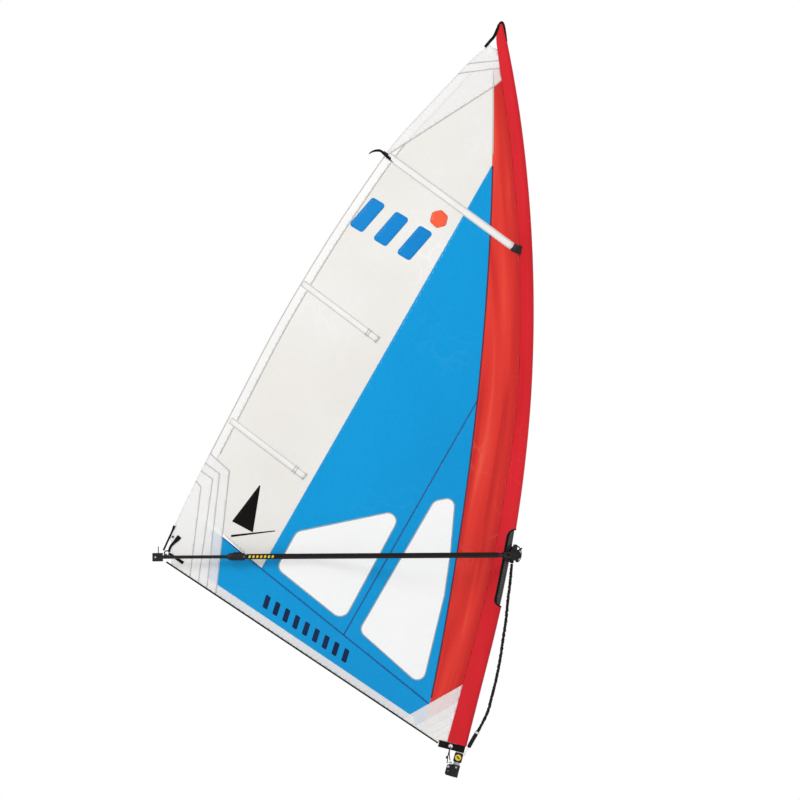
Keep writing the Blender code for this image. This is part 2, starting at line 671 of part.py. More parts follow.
def panel(name, outline, finish_name, hole=None):
    # A flat outline, cut on a grid, bellied and given the cloth's thickness.
    bm = bmesh.new()
    loops = [outline] if hole is None else [outline, hole]
    edges = []
    for loop in loops:
        verts = [bm.verts.new((x, 0.0, z)) for x, z in loop]
        edges += [bm.edges.new(pair) for pair in zip(verts, verts[1:] + verts[:1])]
    if hole is None:
        bm.faces.new(bm.verts)
    else:
        bmesh.ops.triangle_fill(bm, use_beauty=True, use_dissolve=False, edges=edges, normal=(0, -1, 0))
    for axis in (Vector((1, 0, 0)), Vector((0, 0, 1))):
        values = [v.co.dot(axis) for v in bm.verts]
        for k in range(math.ceil(min(values) / GRID), math.floor(max(values) / GRID) + 1):
            everything = [*bm.verts, *bm.edges, *bm.faces]
            bmesh.ops.bisect_plane(bm, geom=everything, dist=1e-5, plane_co=axis * (k * GRID), plane_no=axis)
    if hole is not None:
        inside = [e for e in bm.edges if len(e.link_faces) == 2 and not on_grid(e)]
        bmesh.ops.dissolve_edges(bm, edges=inside, use_verts=False)
    bmesh.ops.remove_doubles(bm, verts=bm.verts, dist=1e-4)
    bmesh.ops.triangulate(bm, faces=bm.faces)
    for vert in bm.verts:
        vert.co.y = camber(vert.co.x, vert.co.z)
    obj = add(name, bm, finish_name, smooth=180)
    modifier = obj.modifiers.new("cloth", "SOLIDIFY")
    modifier.thickness = CLOTH
    modifier.offset = 0.0
    return obj


def levels(low, high, step=0.3):
    count = max(1, round((high - low) / step))
    return [low + (high - low) * i / count for i in range(count + 1)]


def cross(a, b, c, d):
    # Where the line a b meets the line c d.
    a, b, c, d = (Vector(p) for p in (a, b, c, d))
    r, s = b - a, d - c
    t = (c - a).cross(s) / r.cross(s)
    p = a + r * t
    return (p.x, p.y)


def between(line, low, high):
    # The part of a line of (x, z), running down, between two heights, with its ends cut exactly.
    def at(z):
        rising = line[::-1]
        return (float(np.interp(z, [p[1] for p in rising], [p[0] for p in rising])), z)
    return [at(high), *[p for p in line if low < p[1] < high], at(low)]


def batten_line_z(x):
    (x0, z0), (x1, z1), _ = BATTENS["top"]
    return z0 + (z1 - z0) * (x - x0) / (x1 - x0)


def meet_batten(line):
    # Where a line of (x, z) running down crosses the top batten.
    for (xa, za), (xb, zb) in zip(line, line[1:]):
        da, db = za - batten_line_z(xa), zb - batten_line_z(xb)
        if da >= 0 > db:
            f = da / (da - db)
            return (xa + (xb - xa) * f, za + (zb - za) * f)
    raise ValueError("the batten does not cross this line")


def sail():
    outer = leech_line(0.0)
    inner = leech_line(LEECH_TAPE_WIDTH)
    tape_top = [p for p in inner if p[0] < 0.235]
    head_z = 4.575
    tape_low = CHEVRON_LEECH_Z

    tape = between(outer, tape_low, head_z)
    tape_in = between(inner, tape_low - 0.027, tape_top[0][1])
    panel("leech_tape", shrink([*tape, *tape_in[::-1]], SEAM), "white_cloth")

    seam = [(seam_x(z), z) for z in levels(BAND_FORE_TOP[1], 4.555)][::-1]
    luff = between(LUFF[::-1], TACK_FORE_TOP[1], 4.555)
    panel("luff_panel", shrink([*seam, (luff_x(TACK_FORE_TOP[1]), TACK_FORE_TOP[1]), *luff[::-1][1:]], SEAM), "red_film")

    inner_batten = meet_batten(inner)
    stripe = [STRIPE_TOP, STRIPE_FOOT]
    stripe_batten = meet_batten(stripe)
    stripe_top = (seam_x(STRIPE_TOP[1]), STRIPE_TOP[1])
    seam_head = between(seam, STRIPE_TOP[1], 4.53)
    leech_head = [p for p in inner if p[1] > inner_batten[1] and p[0] < 0.225]
    panel("head_panel", shrink([*leech_head, inner_batten, stripe_batten, *seam_head[::-1]], SEAM), "white_cloth")

    leech_low = [p for p in between(inner, tape_low - 0.027, 4.0) if p[1] < inner_batten[1]]
    corner = [CHEVRON_CORNER, BAND_AFT_TOP, STRIPE_FOOT]
    panel("leech_panel", shrink([inner_batten, *leech_low, *corner, stripe_batten], SEAM), "white_cloth")

    window_aft = rounded(WINDOW_AFT)
    window_fore = rounded(WINDOW_FORE)
    seam_aft = between(seam, DIAGONAL_TOP[1], STRIPE_TOP[1])
    seam_fore = between(seam, BAND_FORE_TOP[1], DIAGONAL_TOP[1])
    panel("main_panel_aft", shrink([*seam_aft, DIAGONAL_FOOT, STRIPE_FOOT], SEAM), "blue_film", window_aft)
    panel("main_panel_fore", shrink([*seam_fore, DIAGONAL_FOOT], SEAM), "blue_film", window_fore)
    panel("window_aft", shrink(window_aft, 2 * SEAM), "window_film")
    panel("window_fore", shrink(window_fore, 2 * SEAM), "window_film")

    panel("foot_panel", shrink([BAND_AFT_TOP, BAND_AFT_LOW, BAND_FORE_LOW, BAND_FORE_TOP], SEAM), "blue_film")

    low = cross(BAND_AFT_TOP, BAND_AFT_LOW, (-1.6, foot_z(-1.6, BINDING_WIDTH)), (-1.0, foot_z(-1.0, BINDING_WIDTH)))
    tack_low = (BAND_FORE_LOW[0] - 0.027, foot_z(BAND_FORE_LOW[0] - 0.027, BINDING_WIDTH))
    panel("foot_tape", shrink([BAND_AFT_LOW, low, tack_low, BAND_FORE_LOW], SEAM), "white_cloth")

    clew_z = float(np.interp(CLEW_X, [p[0] for p in LEECH_LINE], [p[1] for p in LEECH_LINE]))
    edge = between(outer, clew_z, CHEVRON_LEECH_Z)
    clew = [*edge, (CLEW_X, foot_z(CLEW_X, BINDING_WIDTH)), low, BAND_AFT_LOW, BAND_AFT_TOP, CHEVRON_CORNER]
    tape_end = (between(inner, tape_low - 0.027, 4.0)[-1])
    panel("clew_patch", shrink([*clew, tape_end], SEAM), "white_cloth")

    hem_top = FOOT_FRAME @ Vector((-0.1415, 0.0, SLEEVE_START + GAP))
    hem_low = (hem_top.x - 0.011, foot_z(hem_top.x - 0.011, BINDING_WIDTH))
    luff_low = [p for p in LUFF[::-1] if p[1] < TACK_FORE_TOP[1]]
    tack = [BAND_FORE_LOW, BAND_FORE_TOP, (luff_x(TACK_FORE_TOP[1]), TACK_FORE_TOP[1]), *luff_low,
            (hem_top.x, hem_top.z), hem_low, tack_low]
    panel("tack_patch", shrink(tack, SEAM), "white_cloth")

    strip = [(BINDING_START_X, foot_z(BINDING_START_X, 0.0)),
             (BINDING_START_X, foot_z(BINDING_START_X, BINDING_WIDTH - GAP))]
    strip += [(hem_low[0], foot_z(hem_low[0], BINDING_WIDTH - GAP)), (hem_low[0], foot_z(hem_low[0], 0.0))]
    panel("foot_binding", strip, "webbing").modifiers[0].thickness = 0.003


def on_sail(point, side, off, out):
    x, z = point.x + side.x * off, point.y + side.y * off
    return Vector((x, camber(x, z) - out, z))


def strip_on_sail(name, start, end, section, finish_name):
    # Carries a section of (across, out from the cloth) along a straight line on the sail's near side.
    start, end = Vector(start), Vector(end)
    ahead = (end - start).normalized()
    side = Vector((-ahead.y, ahead.x))
    count = max(1, round((end - start).length / 0.09))
    rings = [[on_sail(start.lerp(end, i / count), side, off, out) for off, out in section] for i in range(count + 1)]
    return loft(name, rings, finish_name)


def battens():
    base = CLOTH / 2 + 0.0008
    roof = base + BATTEN_THICKNESS + 3 * GAP
    for name, (start, end, width) in BATTENS.items():
        start, end = Vector(start), Vector(end)
        ahead = (end - start).normalized()
        half = BATTEN_WIDTH / 2
        slat = [(-half, base + GAP), (half, base + GAP), (half, base + GAP + BATTEN_THICKNESS), (-half, base + GAP + BATTEN_THICKNESS)]
        strip_on_sail(f"batten_{name}", start + ahead * 0.012, end - ahead * 0.006, slat, "fibreglass")
        w, i = width / 2, half + 0.0006
        o = i + 0.0008
        hat = [(-w, base), (-i, base), (-i, roof), (i, roof), (i, base), (w, base), (w, base + CLOTH),
               (o, base + CLOTH), (o, roof + CLOTH), (-o, roof + CLOTH), (-o, base + CLOTH), (-w, base + CLOTH)]
        strip_on_sail(f"batten_pocket_{name}", start, end, hat, "white_cloth")
    start, end, width = BATTENS["top"]
    start, end = Vector(start), Vector(end)
    ahead = (end - start).normalized()
    cap = [(-0.025, base), (0.025, base), (0.025, base + 0.006), (-0.025, base + 0.006)]
    strip_on_sail("batten_cap", end + ahead * 0.0008, end + ahead * 0.026, cap, "black_plastic")
    buckle = [(-0.009, base), (0.009, base), (0.009, base + 0.007), (-0.009, base + 0.007)]
    strip_on_sail("batten_buckle", start - ahead * 0.036, start - ahead * 0.0008, buckle, "black_plastic")


def clew_fittings():
    centre = Vector((-1.790, -0.0095, 1.399))
    profile = [(0.015 + 0.004 * math.cos(math.tau * i / 8), 0.004 * math.sin(math.tau * i / 8)) for i in range(8)]
    turned("clew_ring", profile, "black_plastic", Matrix.Translation(centre) @ ALONG_Y, 16, ring=True)
    outline = [(-1.7665, 1.3980), (-1.7640, 1.4330), (-1.7280, 1.4760), (-1.7090, 1.4980), (-1.6960, 1.4900),
               (-1.7100, 1.4720), (-1.7480, 1.4260), (-1.7510, 1.3860), (-1.6810, 1.3420), (-1.6900, 1.3290),
               (-1.7660, 1.3780)]
    prism("clew_strap", outline, -0.0100, -0.0080, "webbing")


# Boom

def arm_y(x):
    if x > ARM_WIDEST:
        return ARM_WIDEST_Y - (ARM_WIDEST_Y - ARM_START_Y) * ((x - ARM_WIDEST) / (ARM_START - ARM_WIDEST)) ** 2
    if x > ARM_PARALLEL:
        turn = math.pi * (ARM_WIDEST - x) / (ARM_WIDEST - ARM_PARALLEL)
        return ARM_PARALLEL_Y + (ARM_WIDEST_Y - ARM_PARALLEL_Y) * (0.5 + 0.5 * math.cos(turn))
    return ARM_PARALLEL_Y


ARM_STATIONS = [ARM_START, -0.080, GRIP_START, -0.18, -0.27, -0.36, -0.45, -0.54, ARM_WIDEST, -0.72, -0.80, -0.88, -0.96, -1.04,
                -1.12, -1.20, -1.265, ARM_PARALLEL, GRIP_END, ARM_END]


def arm_path(start, end, side):
    return [Vector((x, side * arm_y(x), 0.0)) for x in ARM_STATIONS if end - 1e-6 <= x <= start + 1e-6]


def boom_front():
    half = 0.045
    edge = 0.002
    profile = [(0.0, 0.070), (ELBOW_RADIUS - edge, 0.070), (ELBOW_RADIUS, 0.070 - edge), (ELBOW_RADIUS, half + edge),
               (ELBOW_RADIUS - edge, half), (ARM_RADIUS, half), (ARM_RADIUS, -half), (ELBOW_RADIUS - edge, -half),
               (ELBOW_RADIUS, -half - edge), (ELBOW_RADIUS, -0.070 + edge), (ELBOW_RADIUS - edge, -0.070), (0.0, -0.070)]
    front = turned("front_bar", profile, "black_plastic", BOOM_FRAME @ ALONG_Y, 20)
    slope = (arm_y(ARM_STATIONS[1]) - ARM_START_Y) / (ARM_START - ARM_STATIONS[1])
    stubs, bores = [], []
    for side in (-1, 1):
        aft = Vector((-1.0, side * slope, 0.0)).normalized()
        turn = Vector((0, 0, 1)).rotation_difference(aft).to_matrix().to_4x4()
        frame = BOOM_FRAME @ Matrix.Translation((ARM_START, side * ARM_START_Y, 0.0)) @ turn
        stubs.append(rod("stub", 0.0185, -0.030, 0.050, "black_plastic", frame, 14))
        bores.append(rod("stub_bore", ARM_RADIUS + 0.0008, -0.001, 0.080, "black_plastic", frame, 14))
    combine(front, "UNION", *stubs)
    combine(front, "DIFFERENCE", *bores)


def boom_arms():
    up = Vector((0.0, 0.0, 1.0))
    for name, side in (("port", 1), ("starboard", -1)):
        path = arm_path(ARM_START, ARM_END, side)
        pipe(f"arm_{name}", path, [ARM_RADIUS] * len(path), ARM_WALL, up, "alloy", 10, BOOM_FRAME)
        path = arm_path(GRIP_START, GRIP_END, side)
        pipe(f"grip_{name}", path, [GRIP_RADIUS] * len(path), GRIP_RADIUS - ARM_RADIUS - 0.0005, up, "grip", 10, BOOM_FRAME)
        collar = BOOM_FRAME @ Matrix.Translation((0.0, side * ARM_PARALLEL_Y, 0.0)) @ ALONG_X
        profile = [(0.0190, -1.6835), (0.0235, -1.690), (0.0235, -1.775), (0.0165, -1.793), (0.0112, -1.793),
                   (0.0112, -1.7845), (0.0146, -1.7845), (0.0146, -1.6835)]
        turned(f"clip_collar_{name}", profile, "black_plastic", collar, 12, ring=True)
        outline = [(-1.6930, 0.0990), (-1.6930, 0.1040), (-1.7620, 0.1040), (-1.7700, 0.1025), (-1.7700, 0.0990)]
        outline = [(x, side * out) for x, out in outline]
        lever = prism(f"clip_lever_{name}", outline, -0.008, 0.008, "black_plastic", BOOM_FRAME, axis="Z")
        bevelled(lever, 0.001, 1)


def tail_path(side_from, side_to):
    turns = [math.pi * i / 10 for i in range(11)]
    bend = [Vector((TAIL_BEND_START - TAIL_BEND_DEPTH * math.sin(a), ARM_PARALLEL_Y * math.cos(a), 0.0)) for a in turns]
    near = Vector((TAIL_START, ARM_PARALLEL_Y, 0.0))
    far = Vector((TAIL_START, -ARM_PARALLEL_Y, 0.0))
    return [near, *bend, far]


def boom_tail():
    up = Vector((0.0, 0.0, 1.0))
    path = tail_path(1, -1)
    pipe("tail_tube", path, [TAIL_RADIUS] * len(path), 0.0015, up, "alloy", 10, BOOM_FRAME)
    outline = [(-2.264, -0.084), (-2.257, -0.092), (-2.205, -0.092), (-2.197, -0.087), (-2.197, -0.056), (-2.208, -0.048),
               (-2.208, 0.048), (-2.197, 0.056), (-2.197, 0.087), (-2.205, 0.092), (-2.257, 0.092), (-2.264, 0.084)]
    body = prism("tail_fitting", outline, -0.0265, 0.0265, "black_plastic", BOOM_FRAME, axis="Z")
    bevelled(body, 0.002, 1)
    cutters = [pipe("channel", path, [TAIL_RADIUS + 0.0008] * len(path), 0.0, up, "steel", 10, BOOM_FRAME)]
    cutters.append(box("slot", (-2.2365, -0.046, -0.0065), (-2.190, 0.046, 0.0065), "steel", BOOM_FRAME))
    for y in (-0.030, 0.030):
        frame = BOOM_FRAME @ Matrix.Translation((-2.223, y, 0.0))
        cutters.append(rod("pin_hole", 0.0034, -0.04, 0.04, "steel", frame, 12))
    combine(body, "DIFFERENCE", *cutters)
    for name, y in (("port", 0.030), ("starboard", -0.030)):
        profile = [(0.0, 0.0262), (0.003, 0.0262), (0.003, 0.0055), (0.011, 0.0055), (0.011, 0.0045), (0.0078, 0.0),
                   (0.011, -0.0045), (0.011, -0.0055), (0.003, -0.0055), (0.003, -0.0262), (0.0, -0.0262)]
        turned(f"tail_sheave_{name}", profile, "alloy", BOOM_FRAME @ Matrix.Translation((-2.223, y, 0.0)), 12)
    route = [(-2.2080, -0.0300, 0.0), (-2.2000, -0.0290, 0.004), (-2.1860, -0.0240, 0.014), (-2.1745, -0.0095, 0.0195),
             (-2.1860, 0.0080, 0.014), (-2.2000, 0.0230, 0.004), (-2.2080, 0.0300, 0.0)]
    cord("outhaul_line", route, ROPE_RADIUS, "rope", BOOM_FRAME, steps=3)


# Boom head

def boom_head():
    ring = [(CLAMP_BORE, CLAMP_HALF_HEIGHT), (CLAMP_RADIUS, CLAMP_HALF_HEIGHT), (CLAMP_RADIUS, -CLAMP_HALF_HEIGHT),
            (CLAMP_BORE, -CLAMP_HALF_HEIGHT)]
    head = turned("head_clamp", ring, "black_plastic", None, 24, ring=True)
    housing = rod("housing", 0.0215, -0.0435, 0.0435, "black_plastic",
                  Matrix.Translation((BOOM_BAR_OFFSET, 0.0, 0.0)) @ ALONG_Y, 20)
    lug = box("lug", (0.031, -0.008, -0.055), (0.053, 0.008, -0.020), "black_plastic")
    ears = []
    for low in (-0.0310, 0.0245):
        outline = [(0.026, 0.020), (0.062, 0.010), (0.060, 0.055), (0.055, 0.066), (0.043, 0.066), (0.026, 0.048)]
        ears.append(prism("ear", outline, low, low + 0.0065, "black_plastic"))
    combine(head, "UNION", housing, lug, *ears)
    bar = rod("bar_bore", ARM_RADIUS + GAP, -0.080, 0.080, "steel",
              Matrix.Translation((BOOM_BAR_OFFSET, 0.0, 0.0)) @ ALONG_Y, 20)
    pin_frame = Matrix.Translation((LEVER_PIN[0], 0.0, LEVER_PIN[1])) @ ALONG_Y
    pin_hole = rod("pin_hole", 0.0034, -0.05, 0.05, "steel", pin_frame, 12)
    mast_bore = rod("mast_bore", CLAMP_BORE, -0.1, 0.1, "steel", None, 24)
    back = box("back", (-0.06, -0.06, -0.08), (-0.007, 0.06, 0.08), "steel")
    combine(head, "DIFFERENCE", bar, pin_hole, mast_bore, back)
    head.data.transform(HEAD_FRAME)

    band = [(CLAMP_BORE, 0.016), (0.0290, 0.016), (0.0290, -0.016), (CLAMP_BORE, -0.016)]
    strap = turned("clamp_strap", band, "webbing", None, 24, ring=True)
    combine(strap, "DIFFERENCE", box("front", (-0.0075, -0.06, -0.08), (0.06, 0.06, 0.08), "steel"))
    strap.data.transform(HEAD_FRAME)

    middle = [(0.049, 0.058), (0.062, 0.0565), (0.077, 0.045), (0.088, 0.024), (0.0925, 0.002), (0.090, -0.020), (0.081, -0.038)]
    path = smooth_curve([(x, 0.0, z) for x, z in middle], 2)
    upper, lower = [], []
    for i, point in enumerate(path):
        tangent = (path[min(i + 1, len(path) - 1)] - path[max(i - 1, 0)]).normalized()
        normal = Vector((-tangent.z, 0.0, tangent.x))
        half = 0.0042 - 0.0018 * i / (len(path) - 1)
        upper.append(point + normal * half)
        lower.append(point - normal * half)
    outline = [(p.x, p.z) for p in upper + lower[::-1]]
    lever = prism("clamp_lever", outline, -0.0220, 0.0220, "black_plastic", HEAD_FRAME)
    pin = rod("pin", 0.0031, -0.0300, 0.0300, "black_plastic", HEAD_FRAME @ pin_frame, 12)
    combine(lever, "UNION", pin)


def uphaul():
    for name, route, radius, finish_name in (("uphaul_rope", UPHAUL_ROUTE, UPHAUL_RADIUS, "rope"),
                                             ("uphaul_handle", UPHAUL_HANDLE, 0.0105, "rope"),
                                             ("uphaul_tail", UPHAUL_TAIL, 0.002, "white_cord")):
        cord(name, [(x, 0.0, z) for x, z in route], radius, finish_name, steps=2)


def build():
    for obj in list(bpy.data.objects):
        bpy.data.objects.remove(obj)
    foot_housing()
    foot_sheaves()
    extension_tube()
    rope_cleat()
    downhaul_line()
    mast_collar()
    mast()
    luff_sleeve()
    tack_hem()
    head_webbing()
    sail()
    battens()
    clew_fittings()
    boom_front()
    boom_arms()
    boom_tail()
    boom_head()
    uphaul()


build()
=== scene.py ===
import json
import math

import bmesh
import bpy
import numpy as np
from mathutils import Matrix, Vector, noise

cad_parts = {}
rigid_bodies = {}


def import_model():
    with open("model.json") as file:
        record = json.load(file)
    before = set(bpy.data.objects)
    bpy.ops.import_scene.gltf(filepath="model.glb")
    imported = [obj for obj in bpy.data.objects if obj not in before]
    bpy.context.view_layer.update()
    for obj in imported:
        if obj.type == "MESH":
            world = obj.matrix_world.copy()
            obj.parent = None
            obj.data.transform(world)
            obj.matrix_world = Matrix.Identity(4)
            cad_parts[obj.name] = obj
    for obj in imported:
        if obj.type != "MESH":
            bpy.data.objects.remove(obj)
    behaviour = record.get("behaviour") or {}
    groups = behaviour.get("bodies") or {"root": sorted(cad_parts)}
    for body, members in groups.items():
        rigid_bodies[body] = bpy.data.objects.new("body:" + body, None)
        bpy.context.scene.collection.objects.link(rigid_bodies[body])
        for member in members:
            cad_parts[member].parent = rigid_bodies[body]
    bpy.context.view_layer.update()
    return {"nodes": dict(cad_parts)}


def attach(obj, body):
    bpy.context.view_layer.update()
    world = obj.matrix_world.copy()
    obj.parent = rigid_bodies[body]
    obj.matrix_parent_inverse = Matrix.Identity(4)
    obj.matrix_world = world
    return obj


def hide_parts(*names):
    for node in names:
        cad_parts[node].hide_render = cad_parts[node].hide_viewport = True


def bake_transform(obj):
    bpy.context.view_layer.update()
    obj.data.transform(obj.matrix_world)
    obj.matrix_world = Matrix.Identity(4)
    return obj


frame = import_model()
nodes = frame["nodes"]
print("frame loaded:", len(nodes), "nodes")


# The camera looks square on, from the starboard side.
view = {"centre": (-0.3325, 2.356), "width": 5.0, "distance": 9.0}
cameraData = bpy.data.cameras.new("camera")
cameraData.type = "ORTHO"
cameraData.ortho_scale = view["width"]
cameraData.clip_end = 60.0
camera = bpy.data.objects.new("camera", cameraData)
camera.location = (view["centre"][0], -view["distance"], view["centre"][1])
camera.rotation_euler = (math.radians(90), 0.0, 0.0)
bpy.context.scene.collection.objects.link(camera)
bpy.context.scene.camera = camera


def cleanSelection():
    for item in bpy.context.view_layer.objects:
        item.select_set(False)


def makeActive(item):
    cleanSelection()
    item.select_set(True)
    bpy.context.view_layer.objects.active = item


# Shader building blocks

def addNode(tree, kind, settings=None, values=None):
    node = tree.nodes.new(kind)
    for key, value in (settings or {}).items():
        setattr(node, key, value)
    for key, value in (values or {}).items():
        node.inputs[key].default_value = value
    return node


def join(tree, source, output, target, socket):
    tree.links.new(source.outputs[output], target.inputs[socket])


def maths(tree, operation, first, second=None, third=None):
    # Each term is a number or a (node, output) pair.
    node = addNode(tree, "ShaderNodeMath", {"operation": operation})
    for i, term in enumerate((first, second, third)):
        if term is None:
            continue
        if isinstance(term, tuple):
            join(tree, term[0], term[1], node, i)
        else:
            node.inputs[i].default_value = term
    return (node, 0)


def newGroup(name, inputs, outputs):
    group = bpy.data.node_groups.new(name, "ShaderNodeTree")
    for label, kind, value in inputs:
        socket = group.interface.new_socket(label, in_out="INPUT", socket_type="NodeSocket" + kind)
        if value is not None:
            socket.default_value = value
    for label, kind in outputs:
        group.interface.new_socket(label, in_out="OUTPUT", socket_type="NodeSocket" + kind)
    return group, addNode(group, "NodeGroupInput"), addNode(group, "NodeGroupOutput")


def mottleGroup():
    # Slow and fine changes of shade, both around one half.
    group, start, end = newGroup("mottle", [("Vector", "Vector", None), ("Slow", "Float", 1.5),
                                            ("Fine", "Float", 40.0)],
                                 [("Slow", "Float"), ("Fine", "Float")])
    for label, detail, rough in (("Slow", 3.0, 0.5), ("Fine", 5.0, 0.6)):
        texture = addNode(group, "ShaderNodeTexNoise", values={"Detail": detail, "Roughness": rough})
        join(group, start, "Vector", texture, "Vector")
        join(group, start, label, texture, "Scale")
        join(group, texture, 0, end, label)
    return group


def weaveGroup():
    # Threads over and under each other, as a height.
    group, start, end = newGroup("weave", [("Vector", "Vector", None), ("Threads", "Float", 600.0)],
                                 [("Height", "Float")])
    split = addNode(group, "ShaderNodeSeparateXYZ")
    join(group, start, "Vector", split, 0)
    turns = maths(group, "MULTIPLY", (start, "Threads"), math.pi)
    waves = [maths(group, "SINE", maths(group, "MULTIPLY", (split, axis), turns)) for axis in ("X", "Z")]
    checker = maths(group, "MULTIPLY", waves[0], waves[1])
    height = maths(group, "MULTIPLY_ADD", checker, 0.5, 0.5)
    join(group, *height, end, "Height")
    return group


def creaseGroup():
    # Fine creases of handled film, as a height with sharp ridges, and a mask where a painted highlight lies along the
    # ridges.
    group, start, end = newGroup("creases", [("Vector", "Vector", None), ("Scale", "Float", 6.0),
                                             ("Patches", "Float", 1.3)],
                                 [("Height", "Float"), ("Mask", "Float")])
    bent = addNode(group, "ShaderNodeTexNoise", values={"Scale": 3.0, "Detail": 2.0})
    join(group, start, "Vector", bent, "Vector")
    push = addNode(group, "ShaderNodeVectorMath", {"operation": "MULTIPLY_ADD"})
    join(group, bent, "Color", push, 0)
    push.inputs[1].default_value = (0.5, 0.5, 0.5)
    join(group, start, "Vector", push, 2)
    cells = addNode(group, "ShaderNodeTexVoronoi", {"feature": "DISTANCE_TO_EDGE"})
    join(group, push, 0, cells, "Vector")
    join(group, start, "Scale", cells, "Scale")
    ridge = addNode(group, "ShaderNodeMapRange", values={1: 0.0, 2: 0.06, 3: 1.0, 4: 0.0})
    join(group, cells, "Distance", ridge, 0)
    where = addNode(group, "ShaderNodeTexNoise", values={"Detail": 1.0})
    join(group, start, "Vector", where, "Vector")
    join(group, start, "Patches", where, "Scale")
    fade = addNode(group, "ShaderNodeMapRange", values={1: 0.52, 2: 0.68, 3: 0.0, 4: 1.0})
    join(group, where, 0, fade, 0)
    both = maths(group, "MULTIPLY", (ridge, 0), (fade, 0))
    join(group, *both, end, "Height")
    join(group, *both, end, "Mask")
    return group


def stitchGroup():
    # Two rows of dashes along a strip's own map: its length in metres and 0 to 1 across it.
    group, start, end = newGroup("stitching", [("Vector", "Vector", None), ("Inset", "Float", 0.2),
                                               ("Row", "Float", 0.05),
                                               ("Pitch", "Float", 0.008)], [("Mask", "Float")])
    split = addNode(group, "ShaderNodeSeparateXYZ")
    join(group, start, "Vector", split, 0)
    fromMiddle = maths(group, "ABSOLUTE", maths(group, "SUBTRACT", (split, "Y"), 0.5))
    rowPlace = maths(group, "SUBTRACT", 0.5, (start, "Inset"))
    offRow = maths(group, "ABSOLUTE", maths(group, "SUBTRACT", fromMiddle, rowPlace))
    onRow = maths(group, "LESS_THAN", offRow, (start, "Row"))
    dash = maths(group, "FRACT", maths(group, "DIVIDE", (split, "X"), (start, "Pitch")))
    onDash = maths(group, "LESS_THAN", dash, 0.72)
    join(group, *maths(group, "MULTIPLY", onRow, onDash), end, "Mask")
    return group


def braidGroup():
    # Crossing strands round a cord, from its own map.
    group, start, end = newGroup("braid", [("Vector", "Vector", None), ("Strands", "Float", 8.0),
                                           ("Pitch", "Float", 0.02)],
                                 [("Height", "Float"), ("Mask", "Float")])
    split = addNode(group, "ShaderNodeSeparateXYZ")
    join(group, start, "Vector", split, 0)
    around = maths(group, "MULTIPLY", maths(group, "MULTIPLY", (split, "Y"), (start, "Strands")), math.tau)
    along = maths(group, "MULTIPLY", maths(group, "DIVIDE", (split, "X"), (start, "Pitch")), math.tau)
    one = maths(group, "SINE", maths(group, "ADD", around, along))
    two = maths(group, "SINE", maths(group, "SUBTRACT", around, along))
    height = maths(group, "MULTIPLY_ADD", maths(group, "MAXIMUM", one, two), 0.5, 0.5)
    join(group, *height, end, "Height")
    join(group, *maths(group, "GREATER_THAN", one, two), end, "Mask")
    return group


groups = {"mottle": mottleGroup(), "weave": weaveGroup(), "creases": creaseGroup(), "stitching": stitchGroup(),
          "braid": braidGroup()}


def useGroup(tree, name, vector, values=None):
    node = addNode(tree, "ShaderNodeGroup", {"node_tree": groups[name]})
    for key, value in (values or {}).items():
        node.inputs[key].default_value = value
    join(tree, vector[0], vector[1], node, "Vector")
    return node


def mixColours(tree, factor, first, second, blend="MIX"):
    node = addNode(tree, "ShaderNodeMix", {"data_type": "RGBA", "blend_type": blend, "clamp_factor": True})
    if isinstance(factor, tuple):
        join(tree, factor[0], factor[1], node, 0)
    else:
        node.inputs[0].default_value = factor
    for socket, colour in ((6, first), (7, second)):
        if isinstance(colour[0], (int, float)):
            node.inputs[socket].default_value = (*colour, 1.0)
        else:
            join(tree, colour[0], colour[1], node, socket)
    return (node, 2)


def linear(red, green, blue):
    # A paint chart's 0 to 255 values as the renderer's own.
    return tuple(((v / 255 + 0.055) / 1.055) ** 2.4 if v > 10 else v / 255 / 12.92 for v in (red, green, blue))


def startMaterial(name, look):
    material = bpy.data.materials.new(name)
    material.use_nodes = True
    tree = material.node_tree
    shader = next(n for n in tree.nodes if n.type == "BSDF_PRINCIPLED")
    for socket in ("Roughness", "Metallic", "Coat Weight", "Coat Roughness", "Alpha", "Sheen Weight", "Sheen Roughness",
                   "Specular IOR Level", "Transmission Weight", "Emission Strength"):
        if socket in look:
            shader.inputs[socket].default_value = look[socket]
    return material, tree, shader


def coordinates(tree, look):
    # The piece's own place, or its map, stretched as the finish asks.
    source = addNode(tree, "ShaderNodeTexCoord")
    mapping = addNode(tree, "ShaderNodeMapping", values={"Scale": look.get("stretch", (1.0, 1.0, 1.0)),
                                                         "Rotation": (0.0, look.get("turn", 0.0), 0.0)})
    join(tree, source, "UV" if look.get("map") else "Object", mapping, "Vector")
    return (source, "UV" if look.get("map") else "Object"), (mapping, "Vector")


def addHeight(tree, shader, heights):
    # Heights are (value, depth in metres), laid over each other.
    last = None
    for value, depth in heights:
        bump = addNode(tree, "ShaderNodeBump", values={"Strength": 1.0, "Distance": depth})
        join(tree, value[0], value[1], bump, "Height")
        if last is not None:
            join(tree, last, "Normal", bump, "Normal")
        last = bump
    if last is not None:
        join(tree, last, "Normal", shader, "Normal")


